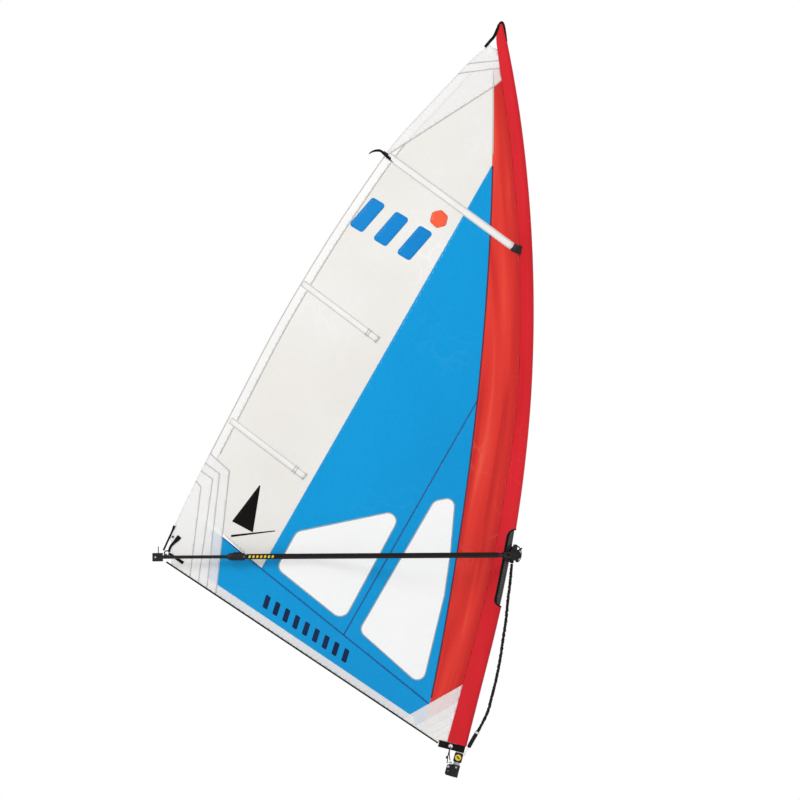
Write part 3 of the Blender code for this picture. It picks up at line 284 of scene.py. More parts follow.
def plainFinish(name, look):
    # One colour with its slow and fine changes, a varied gloss, painted highlights along any creases, and whichever
    # relief the finish names.
    material, tree, shader = startMaterial(name, look)
    plain, stretched = coordinates(tree, look)
    mottle = useGroup(tree, "mottle", stretched, {"Slow": look.get("slow", 1.5), "Fine": look.get("fine", 40.0)})
    spread = addNode(tree, "ShaderNodeMapRange", values={1: 0.35, 2: 0.65})
    join(tree, mottle, "Slow", spread, 0)
    colour = mixColours(tree, (spread, 0), look["colour"], look["other"])
    speck = addNode(tree, "ShaderNodeMapRange", values={1: 0.3, 2: 0.7, 3: 1.0 - look.get("speck", 0.05), 4: 1.0})
    join(tree, mottle, "Fine", speck, 0)
    grey = addNode(tree, "ShaderNodeCombineColor")
    for i in range(3):
        join(tree, speck, 0, grey, i)
    colour = mixColours(tree, 1.0, colour, (grey, 0), "MULTIPLY")
    heights = []
    if "creases" in look:
        scale, depth, light = look["creases"]
        creases = useGroup(tree, "creases", plain, {"Scale": scale, "Patches": look.get("patches", 1.3)})
        # Painted highlight: the crease ridges are mixed towards a lighter colour.
        colour = mixColours(tree, maths(tree, "MULTIPLY", (creases, "Mask"), light), colour,
                            look.get("creaseHighlight", (1, 1, 1)))
        heights.append(((creases, "Height"), depth))
    if "weave" in look:
        threads, depth = look["weave"]
        heights.append(((useGroup(tree, "weave", plain, {"Threads": threads}), "Height"), depth))
    if "grain" in look:
        heights.append(((mottle, "Fine"), look["grain"]))
    if "stitches" in look:
        stitches = look["stitches"]
        sewn = useGroup(tree, "stitching", (addNode(tree, "ShaderNodeTexCoord"), "UV"),
                        {"Inset": stitches["inset"], "Row": stitches["row"], "Pitch": stitches["pitch"]})
        colour = mixColours(tree, (sewn, "Mask"), colour, stitches["colour"])
        heights.append(((sewn, "Mask"), 0.0004))
    join(tree, colour[0], colour[1], shader, "Base Color")
    gloss = addNode(tree, "ShaderNodeMapRange", values={1: 0.3, 2: 0.7,
                                                        3: max(0.02, look["Roughness"] - look.get("glossSpread", 0.06)),
                                                        4: look["Roughness"] + look.get("glossSpread", 0.06)})
    join(tree, mottle, "Fine", gloss, 0)
    join(tree, gloss, 0, shader, "Roughness")
    addHeight(tree, shader, heights)
    return material


def luffFilm(name, look):
    # Red film whose tension folds run along the mast, from the piece's map: metres from the sleeve, height. The folds
    # carry painted light and shade, dark to bright red.
    material, tree, shader = startMaterial(name, look)
    source = addNode(tree, "ShaderNodeTexCoord")
    mapping = addNode(tree, "ShaderNodeMapping", values={"Scale": (13.0, 0.75, 1.0)})
    join(tree, source, "UV", mapping, "Vector")
    folds = addNode(tree, "ShaderNodeTexNoise", values={"Scale": 1.0, "Detail": 2.5, "Roughness": 0.45,
                                                        "Distortion": 0.5})
    join(tree, mapping, "Vector", folds, "Vector")
    # Painted light and shade on the folds: the fold noise picks a red from dark to bright.
    ramp = addNode(tree, "ShaderNodeValToRGB")
    stops = look["stops"]
    for i, (place, colour) in enumerate(stops):
        stop = ramp.color_ramp.elements[i] if i < 2 else ramp.color_ramp.elements.new(place)
        stop.position = place
        stop.color = (*colour, 1.0)
    join(tree, folds, 0, ramp, 0)
    split = addNode(tree, "ShaderNodeSeparateXYZ")
    join(tree, source, "UV", split, 0)
    # Painted shade: within 7 cm of the sleeve the film is mixed towards the shade colour, as the shade beside the
    # sleeve.
    edge = addNode(tree, "ShaderNodeMapRange", {"interpolation_type": "SMOOTHSTEP"}, {1: 0.0, 2: 0.07, 3: 0.75, 4: 0.0})
    join(tree, split, "X", edge, 0)
    colour = mixColours(tree, (edge, 0), (ramp, 0), look["shade"])
    creases = useGroup(tree, "creases", (source, "Object"), {"Scale": 5.0, "Patches": 1.7})
    # Painted highlight: the crease ridges are mixed a quarter of the way towards a pale red.
    colour = mixColours(tree, maths(tree, "MULTIPLY", (creases, "Mask"), 0.25), colour, look["creaseHighlight"])
    join(tree, colour[0], colour[1], shader, "Base Color")
    addHeight(tree, shader, [((folds, 0), 0.006), ((creases, "Height"), 0.0006)])
    return material


def ropeFinish(name, look):
    material, tree, shader = startMaterial(name, look)
    source = addNode(tree, "ShaderNodeTexCoord")
    braid = useGroup(tree, "braid", (source, "UV"), {"Strands": look["strands"], "Pitch": look["pitch"]})
    mottle = useGroup(tree, "mottle", (source, "Object"), {"Slow": 25.0, "Fine": 900.0})
    colour = mixColours(tree, (braid, "Mask"), look["colour"], look["other"])
    colour = mixColours(tree, maths(tree, "MULTIPLY", (mottle, "Fine"), 0.4), colour, look["dust"])
    join(tree, colour[0], colour[1], shader, "Base Color")
    addHeight(tree, shader, [((braid, "Height"), look["depth"]), ((mottle, "Fine"), 0.0004)])
    return material


def ribbedFoam(name, look):
    # Foam grip, ribbed round the boom, with painted light on its underside: paler where it faces down.
    material, tree, shader = startMaterial(name, look)
    source = addNode(tree, "ShaderNodeTexCoord")
    split = addNode(tree, "ShaderNodeSeparateXYZ")
    join(tree, source, "Object", split, 0)
    ribs = maths(tree, "MULTIPLY_ADD", maths(tree, "SINE",
                                             maths(tree, "MULTIPLY", (split, "X"), math.tau / look["ribPitch"])), 0.5,
                 0.5)
    mottle = useGroup(tree, "mottle", (source, "Object"), {"Slow": 7.0, "Fine": 500.0})
    colour = mixColours(tree, (mottle, "Slow"), look["colour"], look["other"])
    # Painted light: faces turned downwards are mixed towards the pale colour, as if lit from below.
    low = addNode(tree, "ShaderNodeMapRange", {"interpolation_type": "SMOOTHSTEP"}, {1: -0.2, 2: -0.9, 3: 0.0, 4: 0.55})
    normal = addNode(tree, "ShaderNodeSeparateXYZ")
    join(tree, source, "Normal", normal, 0)
    join(tree, normal, "Z", low, 0)
    colour = mixColours(tree, (low, 0), colour, look["pale"])
    join(tree, colour[0], colour[1], shader, "Base Color")
    addHeight(tree, shader, [(ribs, 0.0006), ((mottle, "Fine"), 0.0003)])
    return material


def turnedMetal(name, look):
    material, tree, shader = startMaterial(name, look)
    source = addNode(tree, "ShaderNodeTexCoord")
    mapping = addNode(tree, "ShaderNodeMapping", values={"Scale": look["stretch"]})
    join(tree, source, "Object", mapping, "Vector")
    mottle = useGroup(tree, "mottle", (mapping, "Vector"), {"Slow": 20.0, "Fine": 160.0})
    colour = mixColours(tree, (mottle, "Slow"), look["colour"], look["other"])
    join(tree, colour[0], colour[1], shader, "Base Color")
    gloss = addNode(tree, "ShaderNodeMapRange", values={1: 0.3, 2: 0.7, 3: look["Roughness"] - 0.08,
                                                        4: look["Roughness"] + 0.12})
    join(tree, mottle, "Fine", gloss, 0)
    join(tree, gloss, 0, shader, "Roughness")
    addHeight(tree, shader, [((mottle, "Fine"), 0.00008)])
    return material


# Every finish of the rig. Colours are paint values, roughness 0 to 1, depths in metres. A crease entry gives scale,
# depth and the strength of its painted highlight.
looks = {
    "whiteCloth": {
        "colour": linear(236, 233, 228), "other": linear(243, 241, 237), "Specular IOR Level": 0.2, "Roughness": 0.42,
        "Coat Weight": 0.15, "Coat Roughness": 0.2, "slow": 1.1, "fine": 30.0, "speck": 0.02,
        "creases": (7.0, 0.0009, 0.55), "weave": (500.0, 0.00004), "patches": 1.1},
    "paleCloth": {
        "colour": linear(244, 243, 241), "other": linear(250, 249, 247), "Specular IOR Level": 0.2, "Roughness": 0.5,
        "slow": 2.0, "fine": 50.0, "speck": 0.02, "weave": (500.0, 0.00005)},
    "patchCloth": {
        # Painted light: the patch cloth glows faintly (Emission Strength) to win back the brightness its see-through
        # layers lose.
        "colour": linear(250, 249, 248), "other": linear(250, 250, 249), "Specular IOR Level": 0.2, "Roughness": 0.45,
        "slow": 3.0, "fine": 60.0, "speck": 0.02, "Alpha": 0.5, "Emission Strength": 0.085, "weave": (500.0, 0.00005)},
    "pocketCloth": {
        "colour": linear(242, 240, 237), "other": linear(247, 245, 243), "Specular IOR Level": 0.2, "Roughness": 0.5,
        "slow": 6.0, "fine": 60.0, "speck": 0.02, "weave": (500.0, 0.00006),
        "stitches": {"inset": 0.1, "row": 0.035, "pitch": 0.006, "colour": linear(168, 166, 163)}},
    "blueFilm": {
        "colour": linear(0, 152, 218), "other": linear(0, 158, 224), "Specular IOR Level": 0.2, "Roughness": 0.26,
        "slow": 0.9, "fine": 25.0, "speck": 0.03, "stretch": (1.6, 1.0, 0.8), "creases": (6.0, 0.0008, 0.05),
        "creaseHighlight": linear(120, 205, 245), "weave": (420.0, 0.00003)},
    "redFilm": {
        "Specular IOR Level": 0.2, "Roughness": 0.22,
        # stops: painted light and shade on the folds, from dark to bright red.
        "stops": [(0.30, linear(196, 40, 36)), (0.72, linear(240, 88, 70)), (0.44, linear(222, 52, 44)),
                  (0.58, linear(230, 62, 50))],
        # shade is the painted shade of the film beside the sleeve.
        "shade": linear(190, 30, 34), "creaseHighlight": linear(250, 140, 120)},
    "clearFilm": {
        "colour": linear(244, 245, 246), "other": linear(250, 250, 250), "Roughness": 0.08, "glossSpread": 0.03,
        "Alpha": 0.3, "slow": 2.0, "fine": 30.0, "speck": 0.01, "creases": (8.0, 0.0006, 0.0)},
    "crimsonCloth": {
        "colour": linear(210, 22, 34), "other": linear(224, 28, 42), "Specular IOR Level": 0.2, "Roughness": 0.6,
        "slow": 2.0, "fine": 60.0, "speck": 0.05, "stretch": (3.0, 3.0, 0.7), "Sheen Weight": 0.05,
        "weave": (450.0, 0.00012), "creases": (5.0, 0.0012, 0.1), "creaseHighlight": linear(240, 90, 90)},
    "blackWebbing": {
        "colour": linear(9, 8, 9), "other": linear(18, 17, 18), "Roughness": 0.8, "slow": 20.0, "fine": 300.0,
        "speck": 0.2, "Specular IOR Level": 0.2, "weave": (380.0, 0.0003)},
    "navySeam": {
        "colour": linear(0, 96, 176), "other": linear(0, 84, 160), "Roughness": 0.4, "slow": 8.0, "fine": 90.0,
        "speck": 0.08, "stitches": {"inset": 0.3, "row": 0.12, "pitch": 0.007, "colour": linear(16, 40, 100)}},
    "plumSeam": {
        "colour": linear(110, 28, 64), "other": linear(84, 26, 72), "Roughness": 0.4, "slow": 8.0, "fine": 90.0,
        "speck": 0.08, "stitches": {"inset": 0.3, "row": 0.1, "pitch": 0.007, "colour": linear(60, 16, 44)}},
    "greySeam": {
        "colour": linear(226, 224, 220), "other": linear(232, 230, 227), "Roughness": 0.5, "slow": 8.0, "fine": 90.0,
        "speck": 0.04, "stitches": {"inset": 0.3, "row": 0.14, "pitch": 0.007, "colour": linear(176, 173, 169)}},
    "printBlue": {
        "colour": linear(4, 138, 216), "other": linear(2, 132, 208), "Specular IOR Level": 0.2, "Roughness": 0.4,
        "slow": 3.0, "fine": 60.0, "speck": 0.03, "grain": 0.00005},
    "printOrange": {
        "colour": linear(255, 96, 54), "other": linear(250, 90, 48), "Roughness": 0.4, "slow": 3.0, "fine": 60.0,
        "speck": 0.03, "grain": 0.00005},
    "printBlack": {
        "colour": linear(6, 4, 4), "other": linear(16, 12, 11), "Specular IOR Level": 0.1, "Roughness": 0.45,
        "slow": 5.0, "fine": 60.0, "speck": 0.1, "grain": 0.00005},
    "printNavy": {
        "colour": linear(16, 34, 70), "other": linear(22, 44, 84), "Specular IOR Level": 0.15, "Roughness": 0.45,
        "slow": 5.0, "fine": 60.0, "speck": 0.1, "grain": 0.00005},
    "printYellow": {
        "colour": linear(244, 214, 32), "other": linear(232, 198, 24), "Roughness": 0.5, "slow": 9.0, "fine": 120.0,
        "speck": 0.12, "grain": 0.0001},
    "blackMoulding": {
        "colour": linear(14, 13, 14), "other": linear(26, 24, 25), "Specular IOR Level": 0.35, "Roughness": 0.42,
        "slow": 14.0, "fine": 350.0, "speck": 0.12, "grain": 0.0002},
    "greyMoulding": {
        "colour": linear(96, 94, 96), "other": linear(128, 126, 128), "Roughness": 0.45, "slow": 30.0, "fine": 350.0,
        "speck": 0.12, "grain": 0.0002},
    "yellowMoulding": {
        "colour": linear(232, 206, 40), "other": linear(240, 216, 60), "Roughness": 0.38, "slow": 20.0, "fine": 350.0,
        "speck": 0.08, "grain": 0.0001},
    "mastTube": {
        "colour": linear(14, 13, 14), "other": linear(34, 32, 33), "Roughness": 0.3, "Coat Weight": 0.4,
        "Coat Roughness": 0.1, "slow": 6.0, "fine": 200.0, "speck": 0.15, "weave": (300.0, 0.0001)},
    "battenGlass": {
        "colour": linear(226, 228, 220), "other": linear(212, 216, 206), "Roughness": 0.4, "slow": 5.0, "fine": 200.0,
        "speck": 0.06, "stretch": (0.3, 1.0, 1.0), "grain": 0.0001},
    "darkTube": {
        "colour": linear(24, 21, 22), "other": linear(38, 34, 35), "Roughness": 0.4, "Metallic": 0.5,
        "stretch": (0.4, 6.0, 6.0)},
    "brightSteel": {
        "colour": linear(206, 206, 208), "other": linear(176, 176, 180), "Roughness": 0.28, "Metallic": 0.9,
        "stretch": (4.0, 4.0, 4.0)},
    "gripFoam": {
        # pale is the painted light on the grip's downward faces.
        "colour": linear(20, 16, 17), "other": linear(30, 26, 26), "pale": linear(62, 56, 57),
        "Specular IOR Level": 0.25, "Roughness": 0.85, "ribPitch": 0.009},
    "blackRope": {
        "colour": linear(8, 7, 7), "other": linear(22, 21, 20), "dust": linear(70, 66, 62), "Specular IOR Level": 0.2,
        "Roughness": 0.9, "strands": 4.0, "pitch": 0.03, "depth": 0.0012},
    "whiteRope": {
        "colour": linear(236, 236, 232), "other": linear(214, 214, 210), "dust": linear(190, 188, 180),
        "Roughness": 0.85, "strands": 4.0, "pitch": 0.008, "depth": 0.0003},
    "windowSeam": {
        "colour": linear(96, 172, 210), "other": linear(70, 158, 206), "Roughness": 0.4, "slow": 8.0, "fine": 90.0,
        "speck": 0.05, "stitches": {"inset": 0.3, "row": 0.14, "pitch": 0.007, "colour": linear(196, 186, 178)}},
    "tapeCloth": {
        "colour": linear(240, 243, 246), "other": linear(247, 248, 250), "Roughness": 0.5, "slow": 3.0, "fine": 60.0,
        "speck": 0.02, "Alpha": 0.8, "weave": (500.0, 0.00005)},
    "floorPaint": {
        "colour": linear(238, 238, 238), "other": linear(242, 242, 242), "Roughness": 0.8, "slow": 0.4, "fine": 6.0,
        "speck": 0.01, "grain": 0.0002},
}
makers = {"redFilm": luffFilm, "darkTube": turnedMetal, "brightSteel": turnedMetal, "gripFoam": ribbedFoam,
          "blackRope": ropeFinish, "whiteRope": ropeFinish}
finishes = {name: makers.get(name, plainFinish)(name, look) for name, look in looks.items()}
print("finishes made:", len(finishes))


def paint(item, finish):
    item.data.materials.clear()
    item.data.materials.append(finishes[finish])


# The rig's own geometry: a mast that leans, then bends, and the sail plan beside it.

mast = {"lean": math.radians(14.3), "straight": 0.82, "bend": 8.76, "radius": 0.0245, "tip": 0.0125, "end": 4.745,
        "taperFrom": 2.4}


def mastAngle(s):
    return -mast["lean"] + max(0.0, s - mast["straight"]) / mast["bend"]


def aheadOf(s):
    return Vector((math.cos(mastAngle(s)), 0.0, math.sin(mastAngle(s))))


def upAlong(s):
    return Vector((-math.sin(mastAngle(s)), 0.0, math.cos(mastAngle(s))))


bendCentre = upAlong(0.0) * mast["straight"] - aheadOf(0.0) * mast["bend"]


def place(s, ahead, across=0.0):
    # A point this far up the mast, ahead of its middle and to port.
    middle = upAlong(0.0) * s if s <= mast["straight"] else bendCentre + aheadOf(s) * mast["bend"]
    return middle + aheadOf(s) * ahead + Vector((0.0, across, 0.0))


def frameAt(s):
    axes = Matrix((aheadOf(s), Vector((0.0, 1.0, 0.0)), upAlong(s))).transposed().to_4x4()
    return Matrix.Translation(place(s, 0.0)) @ axes


def mastRadius(s):
    return float(np.interp(s, (mast["taperFrom"], mast["end"]), (mast["radius"], mast["tip"])))


sleeve = {"start": 0.2035, "end": 4.765, "clearance": (0.0085, 0.004), "wall": 0.001,
          "depthAt": (0.2, 0.5, 1.0, 1.65, 2.4, 3.0, 3.7, 4.42, 4.66, 4.72, 4.765),
          "depth": (0.124, 0.118, 0.110, 0.106, 0.084, 0.080, 0.082, 0.080, 0.068, 0.055, 0.040),
          "tailHalf": 0.0032, "cutLow": 1.145, "cutHigh": 1.53, "cutBack": -0.014, "cutFront": 0.0365,
          "cutRise": 0.062, "cutDrop": 0.040}


def sleeveRadius(s):
    low, high = sleeve["clearance"]
    return mastRadius(s) + float(np.interp(s, (4.2, 4.7), (low, high)))


def sleeveAft(s):
    return float(np.interp(s, sleeve["depthAt"], sleeve["depth"])) - sleeveRadius(s)


plan = {"leech": [(0.240, 4.588), (0.111, 4.481), (-0.1265, 4.231), (-0.3575, 3.981), (-0.539, 3.731), (-0.789, 3.356),
                  (-1.089, 2.856), (-1.351, 2.356), (-1.6075, 1.856), (-1.806, 1.440)],
        "footAft": (-1.6325, 1.2312), "footFore": (-0.1325, 0.2312), "bandAft": (-1.445, 1.500),
        "bandFore": (-0.151, 0.456), "bandAftLow": (-1.486, 1.210), "bandForeLow": (-0.276, 0.394),
        "stripeTop": (0.2425, 3.825), "stripeFootX": -1.2075, "diagonalTop": (0.1515, 2.356), "diagonalFootX": -0.6856,
        "tapeWidth": 0.060, "camber": 0.045, "camberEdge": 0.35}


def smoothCurve(points, steps):
    points = [Vector(p) for p in points]
    ends = [points[0] * 2 - points[1], *points, points[-1] * 2 - points[-2]]
    curve = []
    for a, b, c, d in zip(ends, ends[1:], ends[2:], ends[3:]):
        for i in range(steps):
            t = i / steps
            square, cube = 2 * a - 5 * b + 4 * c - d, 3 * b - a - 3 * c + d
            curve.append(0.5 * (2 * b + (c - a) * t + square * t * t + cube * t ** 3))
    return [*curve, points[-1]]


def leechLine(inset, steps=3):
    curve = smoothCurve([(x, 0.0, z) for x, z in plan["leech"]], steps)
    moved = []
    for i, point in enumerate(curve):
        tangent = (curve[min(i + 1, len(curve) - 1)] - curve[max(i - 1, 0)]).normalized()
        moved.append(point + Vector((-tangent.z, 0.0, tangent.x)) * inset)
    return [(p.x, p.z) for p in moved]


luffStations = np.linspace(sleeve["start"], sleeve["end"], 60)
luffPoints = [place(s, -sleeveAft(s)) for s in luffStations]
luffLine = [(p.x, p.z) for p in luffPoints]
leechEdge = leechLine(0.0)[::-1]


def crossAt(line, z):
    # Where a rising line of (x, z) passes this height.
    return float(np.interp(z, [p[1] for p in line], [p[0] for p in line]))


def luffX(z):
    return crossAt(luffLine, z)


def leechX(z):
    return crossAt(leechEdge, z)


def seamX(z):
    return 0.252 - 0.028 * (z - 4.25) ** 2


footSlope = (plan["footFore"][1] - plan["footAft"][1]) / (plan["footFore"][0] - plan["footAft"][0])


def footZ(x, above=0.0):
    return plan["footAft"][1] + footSlope * (x - plan["footAft"][0]) + above * math.hypot(1.0, footSlope)


def bandZ(x):
    (x0, z0), (x1, z1) = plan["bandAft"], plan["bandFore"]
    return z0 + (z1 - z0) * (x - x0) / (x1 - x0)


def bandLowZ(x):
    (x0, z0), (x1, z1) = plan["bandAftLow"], plan["bandForeLow"]
    return z0 + (z1 - z0) * (x - x0) / (x1 - x0)


ripple = {"slow": 0.0016, "luff": 0.0016, "luffPitch": 14.0, "luffReach": 0.24}
layers = {"step": 0.0006, "cloth": 0.0003, "leechPanel": -1.0, "headPanel": 0.0, "mainFore": 0.0, "leechTape": 1.0,
          "mainAft": 1.0, "footBand": 2.0, "luffFilm": 3.0, "footTape": 3.0, "patch": 3.9, "patchStep": 0.65,
          "backing": -2.2, "ink": 1.4, "inkCloth": 0.0002, "seam": 0.8, "window": -0.9}


def sailY(x, z, layer=0.0):
    # The cloth's place across the rig: its belly, its ripples, and which layer of the sail it is.
    aft, fore = leechX(z), luffX(z)
    height = (z - footZ(x)) / math.hypot(1.0, footSlope)
    belly = -plan["camber"]
    for distance in (fore - x, 0.85 * (x - aft), height):
        belly *= 1 - math.exp(-max(0.0, distance) / plan["camberEdge"])
    edge = min(1.0, max(0.0, min(fore - x, x - aft, height) / 0.06))
    wave = ripple["slow"] * noise.noise(Vector((x * 2.3, z * 1.4, 0.3)))
    near = max(0.0, 1.0 - (fore - x) / ripple["luffReach"])
    wave += ripple["luff"] * near * noise.noise(Vector(((fore - x) * ripple["luffPitch"], z * 1.1, 4.0)))
    return belly + wave * edge - layer * layers["step"] * (0.7 + 0.3 * min(1.0, max(0.0, fore - x) / 0.05))


def sizeOf(outline):
    # The smallest rectangle round a flat outline, and the outline's own area.
    points = [Vector(p) for p in outline]
    area = abs(sum(a.x * b.y - b.x * a.y for a, b in zip(points, points[1:] + points[:1]))) / 2
    best = None
    for step in range(90):
        turned = [Matrix.Rotation(math.radians(step), 2) @ p for p in points]
        width = max(p.x for p in turned) - min(p.x for p in turned)
        length = max(p.y for p in turned) - min(p.y for p in turned)
        if best is None or width * length < best[0] * best[1]:
            best = (width, length)
    return (min(best), max(best)), area


def newPiece(name, mesh, finish):
    piece = bpy.data.objects.new(name, mesh)
    bpy.context.scene.collection.objects.link(piece)
    mesh.shade_smooth()
    paint(piece, finish)
    return piece


def meshFrom(name, points, faces, uvs=None):
    mesh = bpy.data.meshes.new(name)
    mesh.from_pydata([tuple(p) for p in points], [], faces)
    if uvs is not None:
        layer = mesh.uv_layers.new(name="UVMap")
        for loop in mesh.loops:
            layer.data[loop.index].uv = uvs[loop.vertex_index]
    mesh.validate()
    mesh.update()
    return mesh


def thicken(piece, thickness):
    # A wall of this thickness, half on each side, then made real.
    makeActive(piece)
    wall = piece.modifiers.new("wall", "SOLIDIFY")
    wall.thickness = thickness
    wall.offset = 0.0
    bpy.ops.object.modifier_apply(modifier=wall.name)


def clothSheet(name, outline, layer, finish, hole=None, replaced=(), thickness=layers["cloth"],
               grid=0.02, on=None, strip=None):
    # A flat cut, divided finely, laid on the sail's belly and given its thickness.
    bm = bmesh.new()
    edges = []
    for loop in [outline] if hole is None else [outline, hole]:
        corners = [bm.verts.new((x, 0.0, z)) for x, z in loop]
        edges += [bm.edges.new(pair) for pair in zip(corners, corners[1:] + corners[:1])]
    if hole is None:
        bm.faces.new(bm.verts)
    else:
        bmesh.ops.triangle_fill(bm, use_beauty=True, use_dissolve=False, edges=edges, normal=(0, -1, 0))
    for axis in (Vector((1, 0, 0)), Vector((0, 0, 1))):
        reach = [v.co.dot(axis) for v in bm.verts]
        for k in range(math.ceil(min(reach) / grid), math.floor(max(reach) / grid) + 1):
            bmesh.ops.bisect_plane(bm, geom=[*bm.verts, *bm.edges, *bm.faces], dist=1e-5, plane_co=axis * (k * grid),
                                   plane_no=axis)
    if hole is not None:
        def onGrid(edge):
            a, b = (v.co for v in edge.verts)
            return any(abs(a[i] - round(a[i] / grid) * grid) < 1e-5 and abs(b[i] - round(a[i] / grid) * grid) < 1e-5
                       for i in (0, 2))
        bmesh.ops.dissolve_edges(bm, edges=[e for e in bm.edges if len(e.link_faces) == 2 and not onGrid(e)],
                                 use_verts=False)
    bmesh.ops.remove_doubles(bm, verts=bm.verts, dist=1e-4)
    bmesh.ops.recalc_face_normals(bm, faces=bm.faces)
    if sum(f.normal.y for f in bm.faces) > 0:
        bmesh.ops.reverse_faces(bm, faces=bm.faces)
    bmesh.ops.triangulate(bm, faces=[f for f in bm.faces if len(f.verts) > 4])
    uv = bm.loops.layers.uv.new("UVMap")
    for face in bm.faces:
        for loop in face.loops:
            x, _, z = loop.vert.co
            loop[uv].uv = (luffX(z) - x, z)
    for vert in bm.verts:
        vert.co.y = sailY(vert.co.x, vert.co.z, layer)
    mesh = bpy.data.meshes.new(name)
    bm.to_mesh(mesh)
    bm.free()
    piece = newPiece(name, mesh, finish)
    thicken(piece, thickness)
    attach(piece, "rig")
    if replaced:
        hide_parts(*replaced)
    if on is not None:
        piece.parent = bpy.data.objects[on]
        return piece
    size, area = sizeOf(outline)
    if hole is not None:
        area -= sizeOf(hole)[1]
    if strip is None and area < 0.31 * size[0] * size[1]:
        strip = size[1]
    if strip is not None:
        size, area = (area / strip, strip), None
    return piece


def resample(line, step):
    points = [Vector(p) for p in line]
    result = [points[0]]
    for a, b in zip(points, points[1:]):
        count = max(1, round((b - a).length / step))
        result += [a.lerp(b, i / count) for i in range(1, count + 1)]
    return result


def seamStrip(name, line, width, layer, finish, on=None, profile=None):
    # A tape sewn along a line on the sail. Its map is its length in metres, and 0 to 1 across it.
    # A narrow one goes with its panel.
    points = resample(line, 0.03)
    vertices, faces, uvs = [], [], []
    across = profile or [(-1.0, 0.0), (0.0, 0.0), (1.0, 0.0)]
    run = 0.0
    for i, point in enumerate(points):
        back = (point - points[i - 1]).normalized() if i else (points[1] - point).normalized()
        onward = (points[i + 1] - point).normalized() if i + 1 < len(points) else back
        tangent = (back + onward).normalized()
        side = Vector((-tangent.y, tangent.x)) / max(0.5, tangent.dot(onward))
        run += (point - points[i - 1]).length if i else 0.0
        for off, proud in across:
            spot = point + side * (off * width / 2)
            vertices.append((spot.x, sailY(spot.x, spot.y, layer) - proud, spot.y))
            uvs.append((run, off / 2 + 0.5))
    count = len(across)
    for i in range(len(points) - 1):
        for j in range(count - 1):
            a = i * count + j
            faces.append((a, a + 1, a + count + 1, a + count))
    mesh = meshFrom(name, vertices, faces, uvs)
    if sum(p.normal.y for p in mesh.polygons) > 0:
        mesh.flip_normals()
    piece = newPiece(name, mesh, finish)
    thicken(piece, layers["cloth"])
    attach(piece, "rig")
    if on is None:
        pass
    else:
        piece.parent = bpy.data.objects[on]
    return piece


# Cords first: the uphaul with its handle and shock cord, then the two lashings.

def runOf(path):
    return sum((b - a).length for a, b in zip(path, path[1:]))


def outwards(mesh):
    # Turns every face to the outside.
    bm = bmesh.new()
    bm.from_mesh(mesh)
    bmesh.ops.recalc_face_normals(bm, faces=bm.faces)
    bm.to_mesh(mesh)
    bm.free()
    return mesh


def tubeMesh(name, points, runs, around):
    # A closed tube through rings of points. Its map is metres along and 0 to 1 round.
    faces, corners = [], []
    for i in range(len(runs) - 1):
        for j in range(around):
            k = (j + 1) % around
            faces.append((i * around + j, (i + 1) * around + j, (i + 1) * around + k, i * around + k))
            corners += [(runs[i], j / around), (runs[i + 1], j / around), (runs[i + 1], (j + 1) / around),
                        (runs[i], (j + 1) / around)]
    last = (len(runs) - 1) * around
    faces += [tuple(range(around)), tuple(range(last + around - 1, last - 1, -1))]
    corners += [(0.0, 0.5)] * around + [(runs[-1], 0.5)] * around
    mesh = bpy.data.meshes.new(name)
    mesh.from_pydata([tuple(p) for p in points], [], faces)
    layer = mesh.uv_layers.new(name="UVMap")
    for loop, corner in zip(layer.data, corners):
        loop.uv = corner
    mesh.update()
    return outwards(mesh)


def cordMesh(name, path, radius, around=16, relief=0.0, strands=4.0, pitch=0.03, lump=0.0):
    # A round tube along a path, with the strands of its braid standing proud. Its map is metres along and 0 to 1 round.
    tangents = [(path[min(i + 1, len(path) - 1)] - path[max(i - 1, 0)]).normalized() for i in range(len(path))]
    aside = Vector((0.0, 0.0, 1.0)) if abs(tangents[0].z) < 0.9 else Vector((0.0, 1.0, 0.0))
    side = tangents[0].cross(aside).normalized()
    points, runs, run = [], [], 0.0
    for i, (point, tangent) in enumerate(zip(path, tangents)):
        side = (side - tangent * side.dot(tangent)).normalized()
        normal = tangent.cross(side)
        run += (point - path[i - 1]).length if i else 0.0
        runs.append(run)
        end = min(1.0, 0.35 + i * 0.25, 0.35 + (len(path) - 1 - i) * 0.25) if lump or relief else 1.0
        for j in range(around):
            turn = math.tau * j / around
            one = math.sin(strands * turn + math.tau * run / pitch)
            two = math.sin(strands * turn - math.tau * run / pitch)
            lumps = noise.noise(Vector((run * 70.0, math.sin(turn), math.cos(turn))))
            swell = 1.0 + relief * (max(one, two) - 0.5) + lump * lumps
            points.append(point + (side * math.cos(turn) + normal * math.sin(turn)) * (radius * swell * end))
    return tubeMesh(name, points, runs, around)


uphaul = {"radius": 0.0085, "handleRadius": 0.0132, "tailRadius": 0.002, "bandLength": 0.014,
          "rope": [(0.3668, 1.3336), (0.3635, 1.300), (0.359, 1.253), (0.353, 1.190), (0.344, 1.125), (0.336, 1.045),
                   (0.3275, 0.966), (0.311, 0.856), (0.2925, 0.731), (0.2675, 0.606), (0.236, 0.481), (0.220, 0.419),
                   (0.1925, 0.356), (0.1560, 0.2885)],
          "handle": [(0.1555, 0.2878), (0.136, 0.256), (0.115, 0.220), (0.095, 0.183)],
          "tail": [(0.0948, 0.1826), (0.083, 0.163), (0.0735, 0.146), (0.0662, 0.130)]}


def upright(points):
    return [Vector((x, 0.0, z)) for x, z in points]


